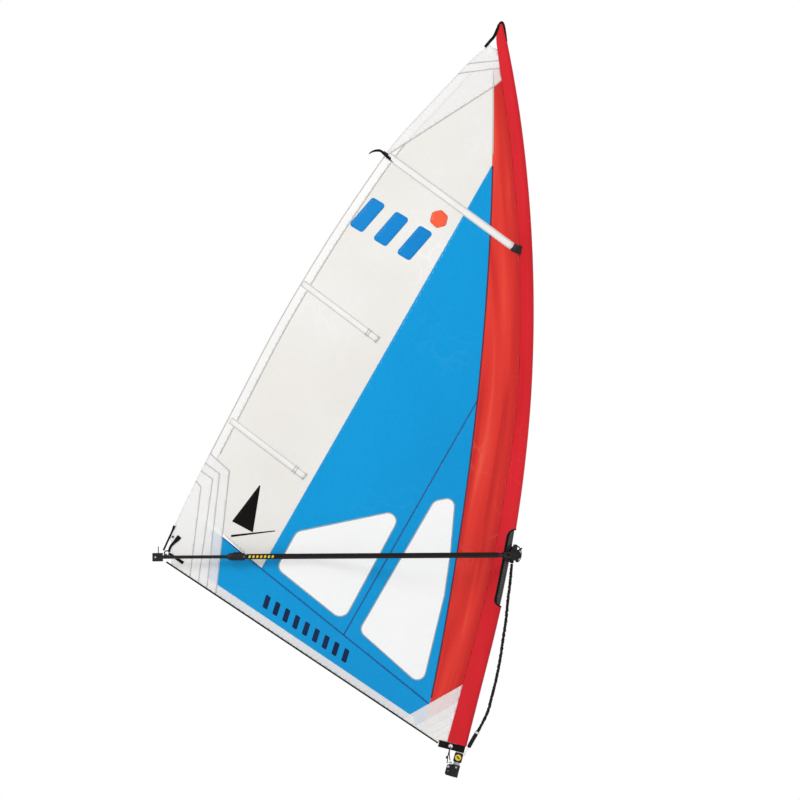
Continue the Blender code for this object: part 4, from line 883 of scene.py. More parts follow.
def makeUphaul():
    rope = smoothCurve(upright(uphaul["rope"] + uphaul["handle"][1:]), 4)
    handle = smoothCurve(upright(uphaul["handle"]), 8)
    tail = smoothCurve(upright(uphaul["tail"]), 6)
    grip = newPiece("uphaulHandle", cordMesh("uphaulHandle", resample(handle, 0.0025), uphaul["handleRadius"], 20, 0.05,
                                             3.0,
                                             0.012, 0.05), "blackRope")
    middle = handle[3]
    axis = (handle[4] - handle[2]).normalized()
    bandPath = [middle + axis * (uphaul["bandLength"] * (t - 0.5)) for t in (0.0, 0.05, 0.35, 0.65, 0.95, 1.0)]
    band = newPiece("uphaulBand", cordMesh("uphaulBand", bandPath, uphaul["handleRadius"] + 0.0012, 20), "whiteRope")
    cord = newPiece("uphaulRope", cordMesh("uphaulRope", resample(rope, 0.0022), uphaul["radius"], 18, 0.24, 3.0, 0.036,
                                           0.42),
                    "blackRope")
    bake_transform(cord)
    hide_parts("uphaul_rope", "uphaul_handle")
    elastic = newPiece("uphaulElastic", cordMesh("uphaulElastic", resample(tail, 0.002), uphaul["tailRadius"], 12, 0.08,
                                                 3.0,
                                                 0.008), "whiteRope")
    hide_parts("uphaul_tail")
    for piece in (grip, band, elastic):
        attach(piece, "rig")
    print("uphaul:", round(runOf(rope), 3), "m of rope,", round(runOf(tail), 3), "m of elastic")


footFrame = frameAt(0.0)
boom = {"station": 1.4365, "barAhead": 0.0505, "droop": math.radians(-0.37)}
boomFrame = Matrix.Translation(place(boom["station"], boom["barAhead"])) @ Matrix.Rotation(boom["droop"], 4, "Y")

lashing = {"radius": 0.0030, "ring": (-0.0632, 0.183)}


def makeLashings():
    ahead, up = lashing["ring"]
    down = [(-0.0575, 0.0, 0.0720), (-0.0610, -0.003, 0.092), (-0.0640, -0.007, 0.116), (-0.0650, -0.0095, 0.150),
            (ahead - 0.0015, -0.0090, up - 0.0130), (ahead - 0.0005, -0.0055, up - 0.0035), (ahead, 0.0, up - 0.0015),
            (ahead - 0.0005, 0.0055, up - 0.0035), (ahead - 0.0015, 0.0090, up - 0.0130), (-0.0620, 0.009, 0.145),
            (-0.0520, 0.006, 0.112), (-0.0440, 0.002, 0.0940)]
    out = [(-2.2080, -0.0300, 0.0), (-2.2000, -0.0290, 0.004), (-2.1860, -0.0240, 0.014), (-2.1745, -0.0095, 0.0195),
           (-2.1860, 0.0080, 0.014), (-2.2000, 0.0230, 0.004), (-2.2080, 0.0300, 0.0)]
    for name, node, points, base in (("downhaulLine", "downhaul_line", down, footFrame),
                                     ("outhaulLine", "outhaul_line", out, boomFrame)):
        path = [base @ p for p in smoothCurve(points, 5)]
        line = newPiece(name, cordMesh(name, resample(path, 0.0015), lashing["radius"], 12, 0.10, 3.0, 0.009),
                        "blackRope")
        if base is footFrame:
            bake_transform(line)
        else:
            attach(line, "boom_tail")
        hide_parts(node)


makeUphaul()
makeLashings()
print("cords made")


# The sail: film and cloth panels, each overlapping its neighbour, then the patches sewn over its corners.

def rounded(corners, steps=8):
    outline = []
    for i, (x, z, radius) in enumerate(corners):
        here = Vector((x, z))
        if not radius:
            outline.append((x, z))
            continue
        back = (Vector(corners[i - 1][:2]) - here).normalized()
        onward = (Vector(corners[(i + 1) % len(corners)][:2]) - here).normalized()
        half = math.acos(back.dot(onward)) / 2
        reach = radius / math.tan(half)
        centre = here + (back + onward).normalized() * (radius / math.sin(half))
        start, end = here + back * reach - centre, here + onward * reach - centre
        turn = start.angle_signed(end)
        for k in range(steps + 1):
            spot = centre + Matrix.Rotation(-turn * k / steps, 2) @ start
            outline.append((spot.x, spot.y))
    return outline


def grow(outline, margin):
    # Moves a closed outline's corners outwards.
    points = [Vector(p) for p in outline]
    sign = 1.0 if sum(a.x * b.y - b.x * a.y for a, b in zip(points, points[1:] + points[:1])) > 0 else -1.0
    moved = []
    for i, point in enumerate(points):
        back = (point - points[i - 1]).normalized()
        onward = (points[(i + 1) % len(points)] - point).normalized()
        one, two = Vector((back.y, -back.x)) * sign, Vector((onward.y, -onward.x)) * sign
        middle = (one + two).normalized()
        moved.append(point + middle * (margin / max(0.5, middle.dot(two))))
    return [tuple(p) for p in moved]


def section(line, low, high):
    # The part of a rising line of (x, z) between two heights, running down.
    return [(crossAt(line, high), high), *[p for p in line[::-1] if low < p[1] < high], (crossAt(line, low), low)]


def meeting(line, height):
    # Where a rising line of (x, z) passes the height that height(x) gives.
    gaps = [z - height(x) for x, z in line]
    for (xa, za), (xb, zb), ga, gb in zip(line, line[1:], gaps, gaps[1:]):
        if ga < 0 <= gb:
            f = ga / (ga - gb)
            return (xa + (xb - xa) * f, za + (zb - za) * f)


batten = {"top": ((-0.408, 3.885), (0.372, 3.3138), 0.048), "mid": ((-0.940, 3.086), (-0.470, 2.731), 0.044),
          "low": ((-1.392, 2.230), (-0.926, 1.875), 0.044)}
cut = {"lap": 0.006, "footClear": 0.004, "leechTop": 4.575, "luffTop": 4.555, "seamTop": 4.53, "tapeAft": -1.62,
       "tapeFore": -0.24, "windowLap": 0.012}


def battenZ(x):
    (x0, z0), (x1, z1), _ = batten["top"]
    return z0 + (z1 - z0) * (x - x0) / (x1 - x0)


innerLeech = leechLine(plan["tapeWidth"])[::-1]
stripeFoot = plan["stripeFootX"] + 0.0125
stripeLine = [(stripeFoot, bandZ(stripeFoot)), (plan["stripeTop"][0] + 0.006, plan["stripeTop"][1])]
diagonalFoot = (plan["diagonalFootX"], bandZ(plan["diagonalFootX"]))
seamLine = [(seamX(z) + 0.010 * max(0.0, 1.0 - z / 1.4), z) for z in np.linspace(0.2, 4.555, 60)]
hemTop = footFrame @ Vector((-0.1415, 0.0, sleeve["start"] + 0.0003))
hemLow = (hemTop.x - 0.011, footZ(hemTop.x - 0.011, cut["footClear"]))


chevrons = [((-1.510, 2.022), (-1.399, 1.914), (-1.4575, 1.381)), ((-1.539, 1.9625), (-1.460, 1.894), (-1.5175, 1.381)),
            ((-1.561, 1.9125), (-1.503, 1.8625), (-1.570, 1.381)), ((-1.589, 1.850), (-1.576, 1.8125), (-1.629, 1.381))]
tackLines = {"aft": (-0.2737, 0.3893), "fore": (0.0608, 0.578), "drops": (0.0, 0.078, 0.128, 0.171, 0.205)}
headLines = [((-0.395, 3.870), (0.2519, 4.3144), (0.302, 4.354)), ((0.0425, 4.397), (0.16, 4.414), (0.286, 4.431)),
             ((0.0925, 4.456), (0.16, 4.465), (0.2605, 4.478))]
clewCut = {"leechZ": 1.500, "corner": (-1.763, 1.470), "footX": -1.763}
windows = {"aft": rounded([(-0.314, 1.669, 0.05), (-0.976, 1.531, 0.06), (-1.101, 1.306, 0.05), (-0.689, 0.975, 0.06)]),
           "fore": rounded([(0.010, 1.748, 0.045), (-0.118, 1.722, 0.06), (-0.586, 0.914, 0.05), (-0.196, 0.567, 0.05),
                            (-0.0575, 1.1375, 0.0), (-0.020, 1.400, 0.0)])}
clewCorner = [clewCut["corner"], (clewCut["footX"], footZ(clewCut["footX"], cut["footClear"]))]


def footMeets(a, b):
    # Where the line through two points crosses the foot.
    ga, gb = (z - footZ(x, cut["footClear"]) for x, z in (a, b))
    f = ga / (ga - gb)
    return (a[0] + (b[0] - a[0]) * f, a[1] + (b[1] - a[1]) * f)


def makePanels():
    lap = cut["lap"]
    leechBatten = meeting(innerLeech, battenZ)
    stripeBatten = meeting(stripeLine, battenZ)
    leechBand = meeting(leechEdge, bandZ)
    seamFoot = meeting(seamLine, lambda x: footZ(x, cut["footClear"]))

    tapeOut = section(leechEdge, clewCut["leechZ"], cut["leechTop"])
    tapeIn = section(innerLeech, leechBand[1] - 0.02, max(z for x, z in innerLeech if x < 0.235))
    clothSheet("leechTape", [*tapeOut, *tapeIn[::-1]], layers["leechTape"], "paleCloth",
               replaced=["leech_tape"],
               strip=sum((Vector(a) - Vector(b)).length for a, b in zip(tapeOut, tapeOut[1:])))

    head = [p for p in innerLeech[::-1] if p[1] > leechBatten[1] and p[0] < 0.225]
    seamHead = section(seamLine, plan["stripeTop"][1], cut["seamTop"])
    clothSheet("headPanel", grow([*head, leechBatten, stripeBatten, *seamHead[::-1]], lap), layers["headPanel"],
               "whiteCloth",
               replaced=["head_panel"])

    leechLow = section(innerLeech, leechBand[1], leechBatten[1])[1:]
    clothSheet("leechPanel", grow([leechBatten, *leechLow, stripeLine[0], stripeBatten], lap), layers["leechPanel"],
               "whiteCloth",
               replaced=["leech_panel"])

    seamAft = section(seamLine, plan["diagonalTop"][1], plan["stripeTop"][1])
    seamFore = section(seamLine, plan["bandFore"][1], plan["diagonalTop"][1])
    clothSheet("mainPanelAft", grow([*seamAft, diagonalFoot, stripeLine[0]], lap), layers["mainAft"], "blueFilm",
               hole=windows["aft"], replaced=["main_panel_aft"])
    clothSheet("mainPanelFore", grow([*seamFore, diagonalFoot], lap), layers["mainFore"], "blueFilm",
               hole=windows["fore"], replaced=["main_panel_fore"])
    for side in ("aft", "fore"):
        label = side.capitalize()
        clothSheet("window" + label, grow(windows[side], cut["windowLap"]), layers["main" + label] + layers["window"],
                   "clearFilm", replaced=["window_" + side])
        seam = grow(windows[side], 0.004)
        seamStrip("windowSeam" + label, [*seam, seam[0]], 0.008, 1.9, "windowSeam",
                  on="mainPanel" + label)

    clewLeech = section(leechEdge, clewCut["leechZ"], leechBand[1])
    clothSheet("footBand", [*clewLeech, *clewCorner, seamFoot, plan["bandFore"]], layers["footBand"], "blueFilm",
               replaced=["foot_panel"])

    luff = [p for p in luffLine if p[1] < cut["luffTop"]][::-1]
    seamUp = [seamFoot, *[p for p in seamLine if p[1] > seamFoot[1]]]
    clothSheet("luffFilm", grow([*seamUp, *luff, (hemTop.x, hemTop.z), hemLow], lap / 2), layers["luffFilm"], "redFilm",
               replaced=["luff_panel"])

    a, b = cut["tapeAft"], cut["tapeFore"]
    tape = [(a, bandLowZ(a)), (a, footZ(a, cut["footClear"])), (b, footZ(b, cut["footClear"])), (b, bandLowZ(b))]
    clothSheet("footTape", tape, layers["footTape"], "tapeCloth", replaced=["foot_tape"])

    for i, (top, corner, low) in enumerate(chevrons):
        leech = [(crossAt(leechEdge, top[1]), top[1]), *section(leechEdge, clewCut["leechZ"], top[1])[1:]]
        outline = [*leech, *clewCorner, footMeets(corner, low), corner]
        clothSheet(f"clewLayer{i + 1}", outline, layers["patch"] + layers["patchStep"] * i, "patchCloth",
                   replaced=["clew_patch"] if not i else [])
        if not i:
            clothSheet("clewBacking", outline, layers["backing"], "patchCloth")

    aft, fore = Vector(tackLines["aft"]), Vector(tackLines["fore"])
    down = Vector((fore.y - aft.y, aft.x - fore.x)).normalized()
    for i, drop in enumerate(tackLines["drops"]):
        a, b = aft + down * drop, fore + down * drop
        top = meeting([(luffX(z), z) for z in np.linspace(0.22, 0.7, 25)],
                      lambda x: a.y + (b.y - a.y) * (x - a.x) / (b.x - a.x))
        outline = [footMeets(a, b), top, *[p for p in luffLine[::-1] if p[1] < top[1] - 0.004],
                   (hemTop.x, hemTop.z), hemLow]
        clothSheet(f"tackLayer{i + 1}", outline, layers["patch"] + layers["patchStep"] * i, "patchCloth",
                   replaced=["tack_patch"] if not i else [])
        if not i:
            clothSheet("tackBacking", outline, layers["backing"], "patchCloth")

    for i, (aft, bend, fore) in enumerate(headLines):
        leech = section(leechEdge, aft[1], cut["leechTop"])
        luffTop = [p for p in luffLine if fore[1] + 0.01 < p[1] < cut["luffTop"]][::-1]
        clothSheet(f"headLayer{i + 1}", [*leech[::-1], *luffTop, (luffX(fore[1]), fore[1]), bend],
                   layers["patch"] + layers["patchStep"] * i, "patchCloth")
    print("panels sewn")


makePanels()


def makeSeams():
    bandFrom = (-1.452, bandZ(-1.452))
    seamStrip("diagonalSeam", [diagonalFoot, plan["diagonalTop"]], 0.007, 2.0, "navySeam",
              on="mainPanelAft")
    seamStrip("bandSeam", [bandFrom, plan["bandFore"]], 0.007, 3.0, "navySeam", on="footBand")
    seamStrip("luffSeam", [p for p in seamLine if 0.44 < p[1] < 3.84], 0.009, 3.9, "plumSeam",
              on="luffFilm")
    seamStrip("luffSeamHead", [p for p in seamLine if 3.83 < p[1] < 4.53], 0.006, 3.9, "greySeam", on="luffFilm")
    seamStrip("leechSeam", section(innerLeech, 2.02, 4.42), 0.007, 1.9, "greySeam", on="leechTape")
    seamStrip("leechEdgeSeam", section(leechLine(0.006)[::-1], 1.5, 4.55), 0.006, 1.9, "greySeam", on="leechTape")
    for i, (aft, bend, fore) in enumerate(headLines):
        line = [(crossAt(leechEdge, aft[1]) + 0.004, aft[1]), bend, (luffX(fore[1]) - 0.002, fore[1])]
        seamStrip(f"headSeam{i + 1}", line, 0.006, layers["patch"] + layers["patchStep"] * i + layers["seam"],
                  "greySeam",
                  on=f"headLayer{i + 1}")
    for i, (top, corner, low) in enumerate(chevrons):
        line = [(crossAt(leechEdge, top[1]) + 0.004, top[1]), corner, footMeets(corner, low)]
        seamStrip(f"clewSeam{i + 1}", line, 0.006, layers["patch"] + layers["patchStep"] * i + layers["seam"],
                  "greySeam",
                  on=f"clewLayer{i + 1}")
    edge = [Vector((x, sailY(x, footZ(x, 0.005), 2.4), footZ(x, 0.005)))
            for x in np.linspace(clewCut["footX"] - 0.030, hemLow[0], 90)]
    binding = newPiece("footBinding", cordMesh("footBinding", edge, 0.0052, 12), "blackWebbing")
    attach(binding, "rig")
    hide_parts("foot_binding")
    print("seams sewn")


makeSeams()


# Batten pockets: a raised channel on the near side, sewn down on both edges.

pocket = {"rise": 0.0042, "flat": 0.62, "box": 0.085, "barHalf": 0.024, "barRaise": 8.2,
          "layer": {"top": 4.0, "mid": 1.9, "low": 1.9}}


def makePockets():
    side = [(-1.0, 0.0), (-0.72, 0.0002), (-pocket["flat"], 0.0012), (-0.46, pocket["rise"]),
            (0.0, pocket["rise"] * 1.1),
            (0.46, pocket["rise"]), (pocket["flat"], 0.0012), (0.72, 0.0002), (1.0, 0.0)]
    for name, (start, end, width) in batten.items():
        label = name.capitalize()
        piece = seamStrip("pocket" + label, [start, end], width, pocket["layer"][name], "pocketCloth", profile=side)
        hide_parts("batten_pocket_" + name)
        a, b = Vector(start), Vector(end)
        onward = (b - a).normalized()
        across = Vector((-onward.y, onward.x))
        if name != "top":
            for i, setBack in enumerate((pocket["box"], pocket["box"] - 0.016, 0.004)):
                spot = b - onward * setBack
                bar = [spot - across * pocket["barHalf"], spot + across * pocket["barHalf"]]
                seamStrip(f"pocketBar{label}{i + 1}", bar, 0.006, pocket["layer"][name] + pocket["barRaise"],
                          "greySeam",
                          on=piece.name, profile=[(-1.0, 0.0), (1.0, 0.0)])
        paint(nodes["batten_" + name], "battenGlass")
    print("pockets sewn")


makePockets()


# The luff sleeve, its cut-out for the boom, and the binding round that.

def teardrop(s, inset, arcSteps=18, sideSteps=4):
    radius = sleeveRadius(s) - inset
    reach = sleeveAft(s) * radius / sleeveRadius(s)
    turn = math.pi - math.acos(radius / reach)
    ring = [(radius * math.cos(a), radius * math.sin(a))
            for a in (turn * (2 * i / arcSteps - 1) for i in range(arcSteps + 1))]
    edge = sleeve["tailHalf"] * radius / sleeveRadius(s)
    tail = [(-reach, edge), (-reach, -edge)]
    one = [tuple(Vector(ring[-1]).lerp(Vector(tail[0]), k / sideSteps)) for k in range(1, sideSteps)]
    two = [tuple(Vector(tail[1]).lerp(Vector(ring[0]), k / sideSteps)) for k in range(1, sideSteps)]
    return [*ring, *one, *tail, *two]


def sleeveRipple(s, ahead, across):
    # Slack cloth over the tail of the sleeve, tight over the mast.
    slack = max(0.0, min(1.0, (-ahead - 0.005) / 0.03)) * max(0.0, min(1.0, (ahead + sleeveAft(s)) / 0.02))
    wave = noise.noise(Vector((s * 3.0, ahead * 18.0, 2.0 if across > 0 else 6.0)))
    return across + math.copysign(0.0012, across) * slack * wave


def onSleeve(ahead, s, side, proud):
    radius = sleeveRadius(s) + proud
    reach = sleeveAft(s)
    ahead = min(ahead, radius)
    if ahead < -radius * radius / reach:
        width = (ahead + reach) * radius / math.sqrt(reach * reach - radius * radius)
    else:
        width = math.sqrt(max(0.0, radius * radius - ahead * ahead))
    return place(s, ahead, side * width)


def cutEdge(inset):
    depth = sleeve["cutFront"] - sleeve["cutBack"] - inset
    back = sleeve["cutBack"] + inset
    turns = [math.radians(a) for a in (90, 88, 86, 84, 82, 79, 76, 72, 68, 63, 58, 52, 45, 37, 30, 22, 14, 7, 0)]
    high = [(back + depth * (1 - math.cos(a)), sleeve["cutHigh"] - inset + sleeve["cutRise"] * math.sin(a))
            for a in turns]
    low = [(back + depth * (1 - math.cos(a)), sleeve["cutLow"] + inset - sleeve["cutDrop"] * math.sin(a))
           for a in turns[::-1]]
    straight = [(back, high[-1][1] + (low[0][1] - high[-1][1]) * i / 60) for i in range(1, 60)]
    return [*high, *straight, *low]


def makeSleeve():
    stations = np.linspace(sleeve["start"], sleeve["end"], 150)
    loops = []
    for inset in (sleeve["wall"], 0.0):
        walls = [[place(s, ahead, sleeveRipple(s, ahead, across)) for ahead, across in teardrop(s, inset)]
                 for s in stations]
        loops.append(walls)
    end = sleeve["end"]
    cap = [point + upAlong(end) * 0.004 - (point - place(end, -0.002)) * 0.35 for point in loops[1][-1]]
    rings = [*loops[0][::-1], *loops[1], cap]
    around = len(cap)
    points = [p for ring in rings for p in ring]
    faces = [(i * around + j, i * around + (j + 1) % around, (i + 1) * around + (j + 1) % around, (i + 1) * around + j)
             for i in range(len(rings) - 1) for j in range(around)]
    faces += [tuple(range(around)), tuple(range(len(points) - 1, len(points) - around - 1, -1))]
    piece = newPiece("luffSleeve", outwards(meshFrom("luffSleeve", points, faces)), "crimsonCloth")
    outline = [place(s, ahead) for ahead, s in cutEdge(0.0)]
    outline += [place(sleeve["cutLow"] - sleeve["cutDrop"], 0.08), place(sleeve["cutHigh"] + sleeve["cutRise"], 0.08)]
    count = len(outline)
    cutter = meshFrom("cutter", [(p.x, y, p.z) for y in (-0.06, 0.06) for p in outline],
                      [tuple(range(count)), tuple(range(2 * count - 1, count - 1, -1)),
                       *[(i, i + count, (i + 1) % count + count, (i + 1) % count) for i in range(count)]])
    tool = bpy.data.objects.new("cutter", outwards(cutter))
    bpy.context.scene.collection.objects.link(tool)
    makeActive(piece)
    hole = piece.modifiers.new("cut", "BOOLEAN")
    hole.operation, hole.solver, hole.object = "DIFFERENCE", "EXACT", tool
    bpy.ops.object.modifier_apply(modifier=hole.name)
    bpy.data.objects.remove(tool)
    piece.data.shade_smooth()
    piece.data.set_sharp_from_angle(angle=math.radians(50))
    rows = []
    for inset, proud in ((-0.0055, 0.0003), (-0.0045, 0.0012), (-0.001, 0.0014), (0.002, 0.0012), (0.003, 0.0002)):
        edge = cutEdge(inset)
        rows.append([*[onSleeve(ahead, s, -1, proud) for ahead, s in edge],
                     *[onSleeve(ahead, s, 1, proud) for ahead, s in edge][::-1]])
    across, count = len(rows[0]), len(rows)
    tape = meshFrom("cutOutBinding", [p for row in rows for p in row],
                    [(i * across + j, i * across + (j + 1) % across, (i + 1) * across + (j + 1) % across,
                      (i + 1) * across + j)
                     for i in range(count - 1) for j in range(across)],
                    [(j * 0.012, i / (count - 1)) for i in range(count) for j in range(across)])
    binding = newPiece("cutOutBinding", tape, "blackWebbing")
    thicken(binding, 0.0008)
    for item in (piece, binding):
        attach(item, "rig")
    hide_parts("luff_sleeve")
    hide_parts("cutout_binding")
    print("sleeve made")


makeSleeve()


# Webbing at the head, the tack, the clew and the clamp: the cut pieces with softened edges.

def softCopy(node, name, finish, body="rig", edge=0.0006):
    mesh = nodes[node].data.copy()
    mesh.name = name
    bm = bmesh.new()
    bm.from_mesh(mesh)
    bmesh.ops.remove_doubles(bm, verts=bm.verts, dist=1e-5)
    bmesh.ops.dissolve_limit(bm, angle_limit=math.radians(2), verts=bm.verts, edges=bm.edges)
    bm.to_mesh(mesh)
    bm.free()
    piece = newPiece(name, mesh, finish)
    makeActive(piece)
    soft = piece.modifiers.new("edges", "BEVEL")
    soft.width, soft.segments, soft.limit_method, soft.angle_limit = edge, 2, "ANGLE", math.radians(40)
    bpy.ops.object.modifier_apply(modifier=soft.name)
    piece.data.shade_smooth()
    piece.data.set_sharp_from_angle(angle=math.radians(35))
    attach(piece, body)
    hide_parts(node)
    return piece


softCopy("tack_hem", "tackHem", "blackWebbing")
softCopy("clamp_strap", "clampStrap", "blackWebbing", body="boom_head", edge=0.0004)


def ribbon(name, stops, finish, around=20, corner=0.55):
    # A folded strap along a line of (x, y, z, half width in the sail's plane, half width across it).
    path = [Vector(p) for p in smoothCurve([stop[:3] for stop in stops], 6)]
    spread = [Vector(p) for p in smoothCurve([(stop[3], stop[4], 0.0) for stop in stops], 6)]
    points, runs, run = [], [], 0.0
    for i, (point, half) in enumerate(zip(path, spread)):
        tangent = path[min(i + 1, len(path) - 1)] - path[max(i - 1, 0)]
        tangent = Vector((tangent.x, 0.0, tangent.z)).normalized()
        side = Vector((-tangent.z, 0.0, tangent.x))
        run += (point - path[i - 1]).length if i else 0.0
        runs.append(run)
        for j in range(around):
            turn = math.tau * j / around
            c, q = math.cos(turn), math.sin(turn)
            wide = half.x * math.copysign(abs(c) ** corner, c)
            deep = half.y * math.copysign(abs(q) ** corner, q)
            points.append(point + side * wide + Vector((0.0, deep, 0.0)))
    mesh = tubeMesh(name, points, runs, around)
    piece = newPiece(name, mesh, finish)
    mesh.set_sharp_from_angle(angle=math.radians(50))
    return piece


straps = {"head": [(0.199, 0.0, 4.561, 0.0095, 0.0045), (0.232, 0.0, 4.601, 0.0095, 0.0050),
                   (0.2555, 0.0, 4.628, 0.0095, 0.0080),
                   (0.275, 0.0, 4.672, 0.0090, 0.0130), (0.291, 0.0, 4.706, 0.0085, 0.0150),
                   (0.3045, 0.0, 4.7155, 0.0085, 0.0155),
                   (0.3155, 0.0, 4.698, 0.0080, 0.0150), (0.3235, 0.0, 4.660, 0.0070, 0.0130),
                   (0.334, 0.0, 4.597, 0.0055, 0.0105)],
          "batten": [(-0.3555, -0.0085, 3.8385, 0.0095, 0.0035), (-0.392, -0.0085, 3.8635, 0.0100, 0.0040),
                     (-0.4235, -0.0080, 3.8865, 0.0085, 0.0042), (-0.4475, -0.0070, 3.9060, 0.0055, 0.0040),
                     (-0.4680, -0.0060, 3.9240, 0.0030, 0.0030)],
          "battenTail": [(-0.4300, -0.0110, 3.8960, 0.0065, 0.0018), (-0.4530, -0.0105, 3.9125, 0.0080, 0.0018),
                         (-0.4800, -0.0090, 3.9150, 0.0075, 0.0016), (-0.5060, -0.0070, 3.9080, 0.0055, 0.0014),
                         (-0.5270, -0.0055, 3.8940, 0.0025, 0.0012)],
          "leech": [(-1.7420, -0.0075, 1.5700, 0.0085, 0.0060), (-1.7480, -0.0075, 1.5560, 0.0078, 0.0055),
                    (-1.7560, -0.0075, 1.5370, 0.0060, 0.0030), (-1.7850, -0.0075, 1.4730, 0.0060, 0.0025),
                    (-1.8110, -0.0080, 1.4160, 0.0060, 0.0030)],
          "clewUp": [(-1.7090, -0.0080, 1.5030, 0.0150, 0.0022), (-1.7250, -0.0085, 1.4850, 0.0140, 0.0022),
                     (-1.7460, -0.0090, 1.4630, 0.0095, 0.0022), (-1.7640, -0.0090, 1.4440, 0.0080, 0.0022),
                     (-1.7730, -0.0085, 1.4220, 0.0080, 0.0022), (-1.7740, -0.0070, 1.4060, 0.0080, 0.0022)],
          "clewDown": [(-1.7740, -0.0060, 1.3960, 0.0080, 0.0022), (-1.7500, -0.0075, 1.3800, 0.0085, 0.0022),
                       (-1.7150, -0.0080, 1.3560, 0.0095, 0.0022), (-1.6870, -0.0080, 1.3370, 0.0100, 0.0022)]}


def makeStraps():
    names = {"head": "headWebbing", "batten": "battenStrap", "battenTail": "battenTail", "leech": "leechStrap",
             "clewUp": "clewStrap", "clewDown": "clewStrapLow"}
    made = {key: ribbon(name, straps[key], "blackWebbing") for key, name in names.items()}
    for piece in made.values():
        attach(piece, "rig")
    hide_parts("head_webbing")
    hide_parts("clew_strap")
    print("straps made")


makeStraps()


# Printed marks: plain bars, a lozenge and a triangle, in thin ink on the cloth.

prints = {"barCentre": (-0.389, 3.425), "barTilt": math.radians(-30.8), "barSize": (0.098, 0.225), "barGap": 0.172,
          "barSlant": 0.18, "dot": (-0.089, 3.4875), "dotRadius": 0.060,
          "mark": [(-1.203, 1.834), (-1.3825, 1.598), (-1.252, 1.528)], "line": [(-1.388, 1.506), (-1.113, 1.538)],
          "tallyFrom": (-1.166, 1.093), "tallyTo": (-0.674, 0.759), "tallies": 9, "tallySize": (0.034, 0.078)}


def inkBar(centre, size, tilt, slant):
    w, h = size[0] / 2, size[1] / 2
    spin = Matrix.Rotation(tilt, 2)
    return [tuple(Vector(centre) + spin @ Vector(p)) for p in
            ((-w - slant * h, -h), (w - slant * h, -h), (w + slant * h, h), (-w + slant * h, h))]


def roundedAll(corners, radius, steps=5):
    return rounded([(*c, radius) for c in corners], steps)


def makePrints():
    tilt = prints["barTilt"]
    along = Vector((math.cos(tilt), math.sin(tilt)))
    for i in range(3):
        centre = Vector(prints["barCentre"]) + along * ((i - 1) * prints["barGap"])
        clothSheet(f"printBar{i + 1}", roundedAll(inkBar(centre, prints["barSize"], tilt, prints["barSlant"]), 0.02),
                   layers["headPanel"] + layers["ink"], "printBlue", on="headPanel",
                   thickness=layers["inkCloth"])
    x, z = prints["dot"]
    lozenge = [(x + prints["dotRadius"] * math.cos(a), z + prints["dotRadius"] * math.sin(a)) for a in
               (math.radians(15 + 60 * k) for k in range(6))]
    clothSheet("printDot", roundedAll(lozenge, 0.022), layers["headPanel"] + layers["ink"], "printOrange",
               on="headPanel",
               thickness=layers["inkCloth"])
    clothSheet("printTriangle", roundedAll(prints["mark"], 0.004), layers["leechPanel"] + layers["ink"], "printBlack",
               on="leechPanel", thickness=layers["inkCloth"])
    (x0, z0), (x1, z1) = prints["line"]
    clothSheet("printLine", [(x0, z0 - 0.007), (x1, z1 - 0.003), (x1, z1 + 0.003), (x0, z0 + 0.007)],
               layers["leechPanel"] + layers["ink"],
               "printBlack", on="leechPanel", thickness=layers["inkCloth"])
    a, b = Vector(prints["tallyFrom"]), Vector(prints["tallyTo"])
    slope = math.atan2(b.y - a.y, b.x - a.x)
    for i in range(prints["tallies"]):
        centre = a.lerp(b, i / (prints["tallies"] - 1))
        clothSheet(f"printTally{i + 1}", roundedAll(inkBar(centre, prints["tallySize"], slope, -0.3), 0.006),
                   layers["footBand"] + layers["ink"], "printNavy", on="footBand",
                   thickness=layers["inkCloth"])
    print("marks printed")


makePrints()

# The hard nodes keep their own shape, and only take a finish.
carried = {
    "blackMoulding": ["foot_housing", "mast_collar", "front_bar", "clip_collar_port", "clip_collar_starboard",
                      "clip_lever_port", "clip_lever_starboard", "tail_fitting", "head_clamp", "clamp_lever",
                      "mast_tip_plug", "batten_cap", "batten_buckle", "clew_ring"],
    "yellowMoulding": ["collar_button"],
    "mastTube": ["mast_bottom", "mast_top", "mast_ferrule"],
    "brightSteel": ["extension_tube", "foot_sheave_upper", "foot_sheave_lower", "downhaul_cleat", "tack_ring",
                    "tail_sheave_port", "tail_sheave_starboard"],
    "darkTube": ["arm_port", "arm_starboard", "tail_tube"],
    "gripFoam": ["grip_port", "grip_starboard"],
}
for finish, names in carried.items():
    for name in names:
        paint(nodes[name], finish)


# Small hard pieces: each starts as a primitive and is shaped in edit mode.

def settle(name, finish, body, bevel=0.0008):
    piece = bpy.context.object
    piece.name = piece.data.name = name
    bpy.ops.object.transform_apply(location=True, rotation=True, scale=True)
    if bevel:
        soft = piece.modifiers.new("edges", "BEVEL")
        soft.width, soft.segments, soft.limit_method, soft.angle_limit = bevel, 2, "ANGLE", math.radians(35)
        bpy.ops.object.modifier_apply(modifier=soft.name)
    bpy.ops.object.shade_smooth_by_angle(angle=math.radians(35))
    bpy.context.scene.cursor.location = (0.0, 0.0, 0.0)
    bpy.ops.object.origin_set(type="ORIGIN_CURSOR")
    paint(piece, finish)
    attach(piece, body)
    return piece


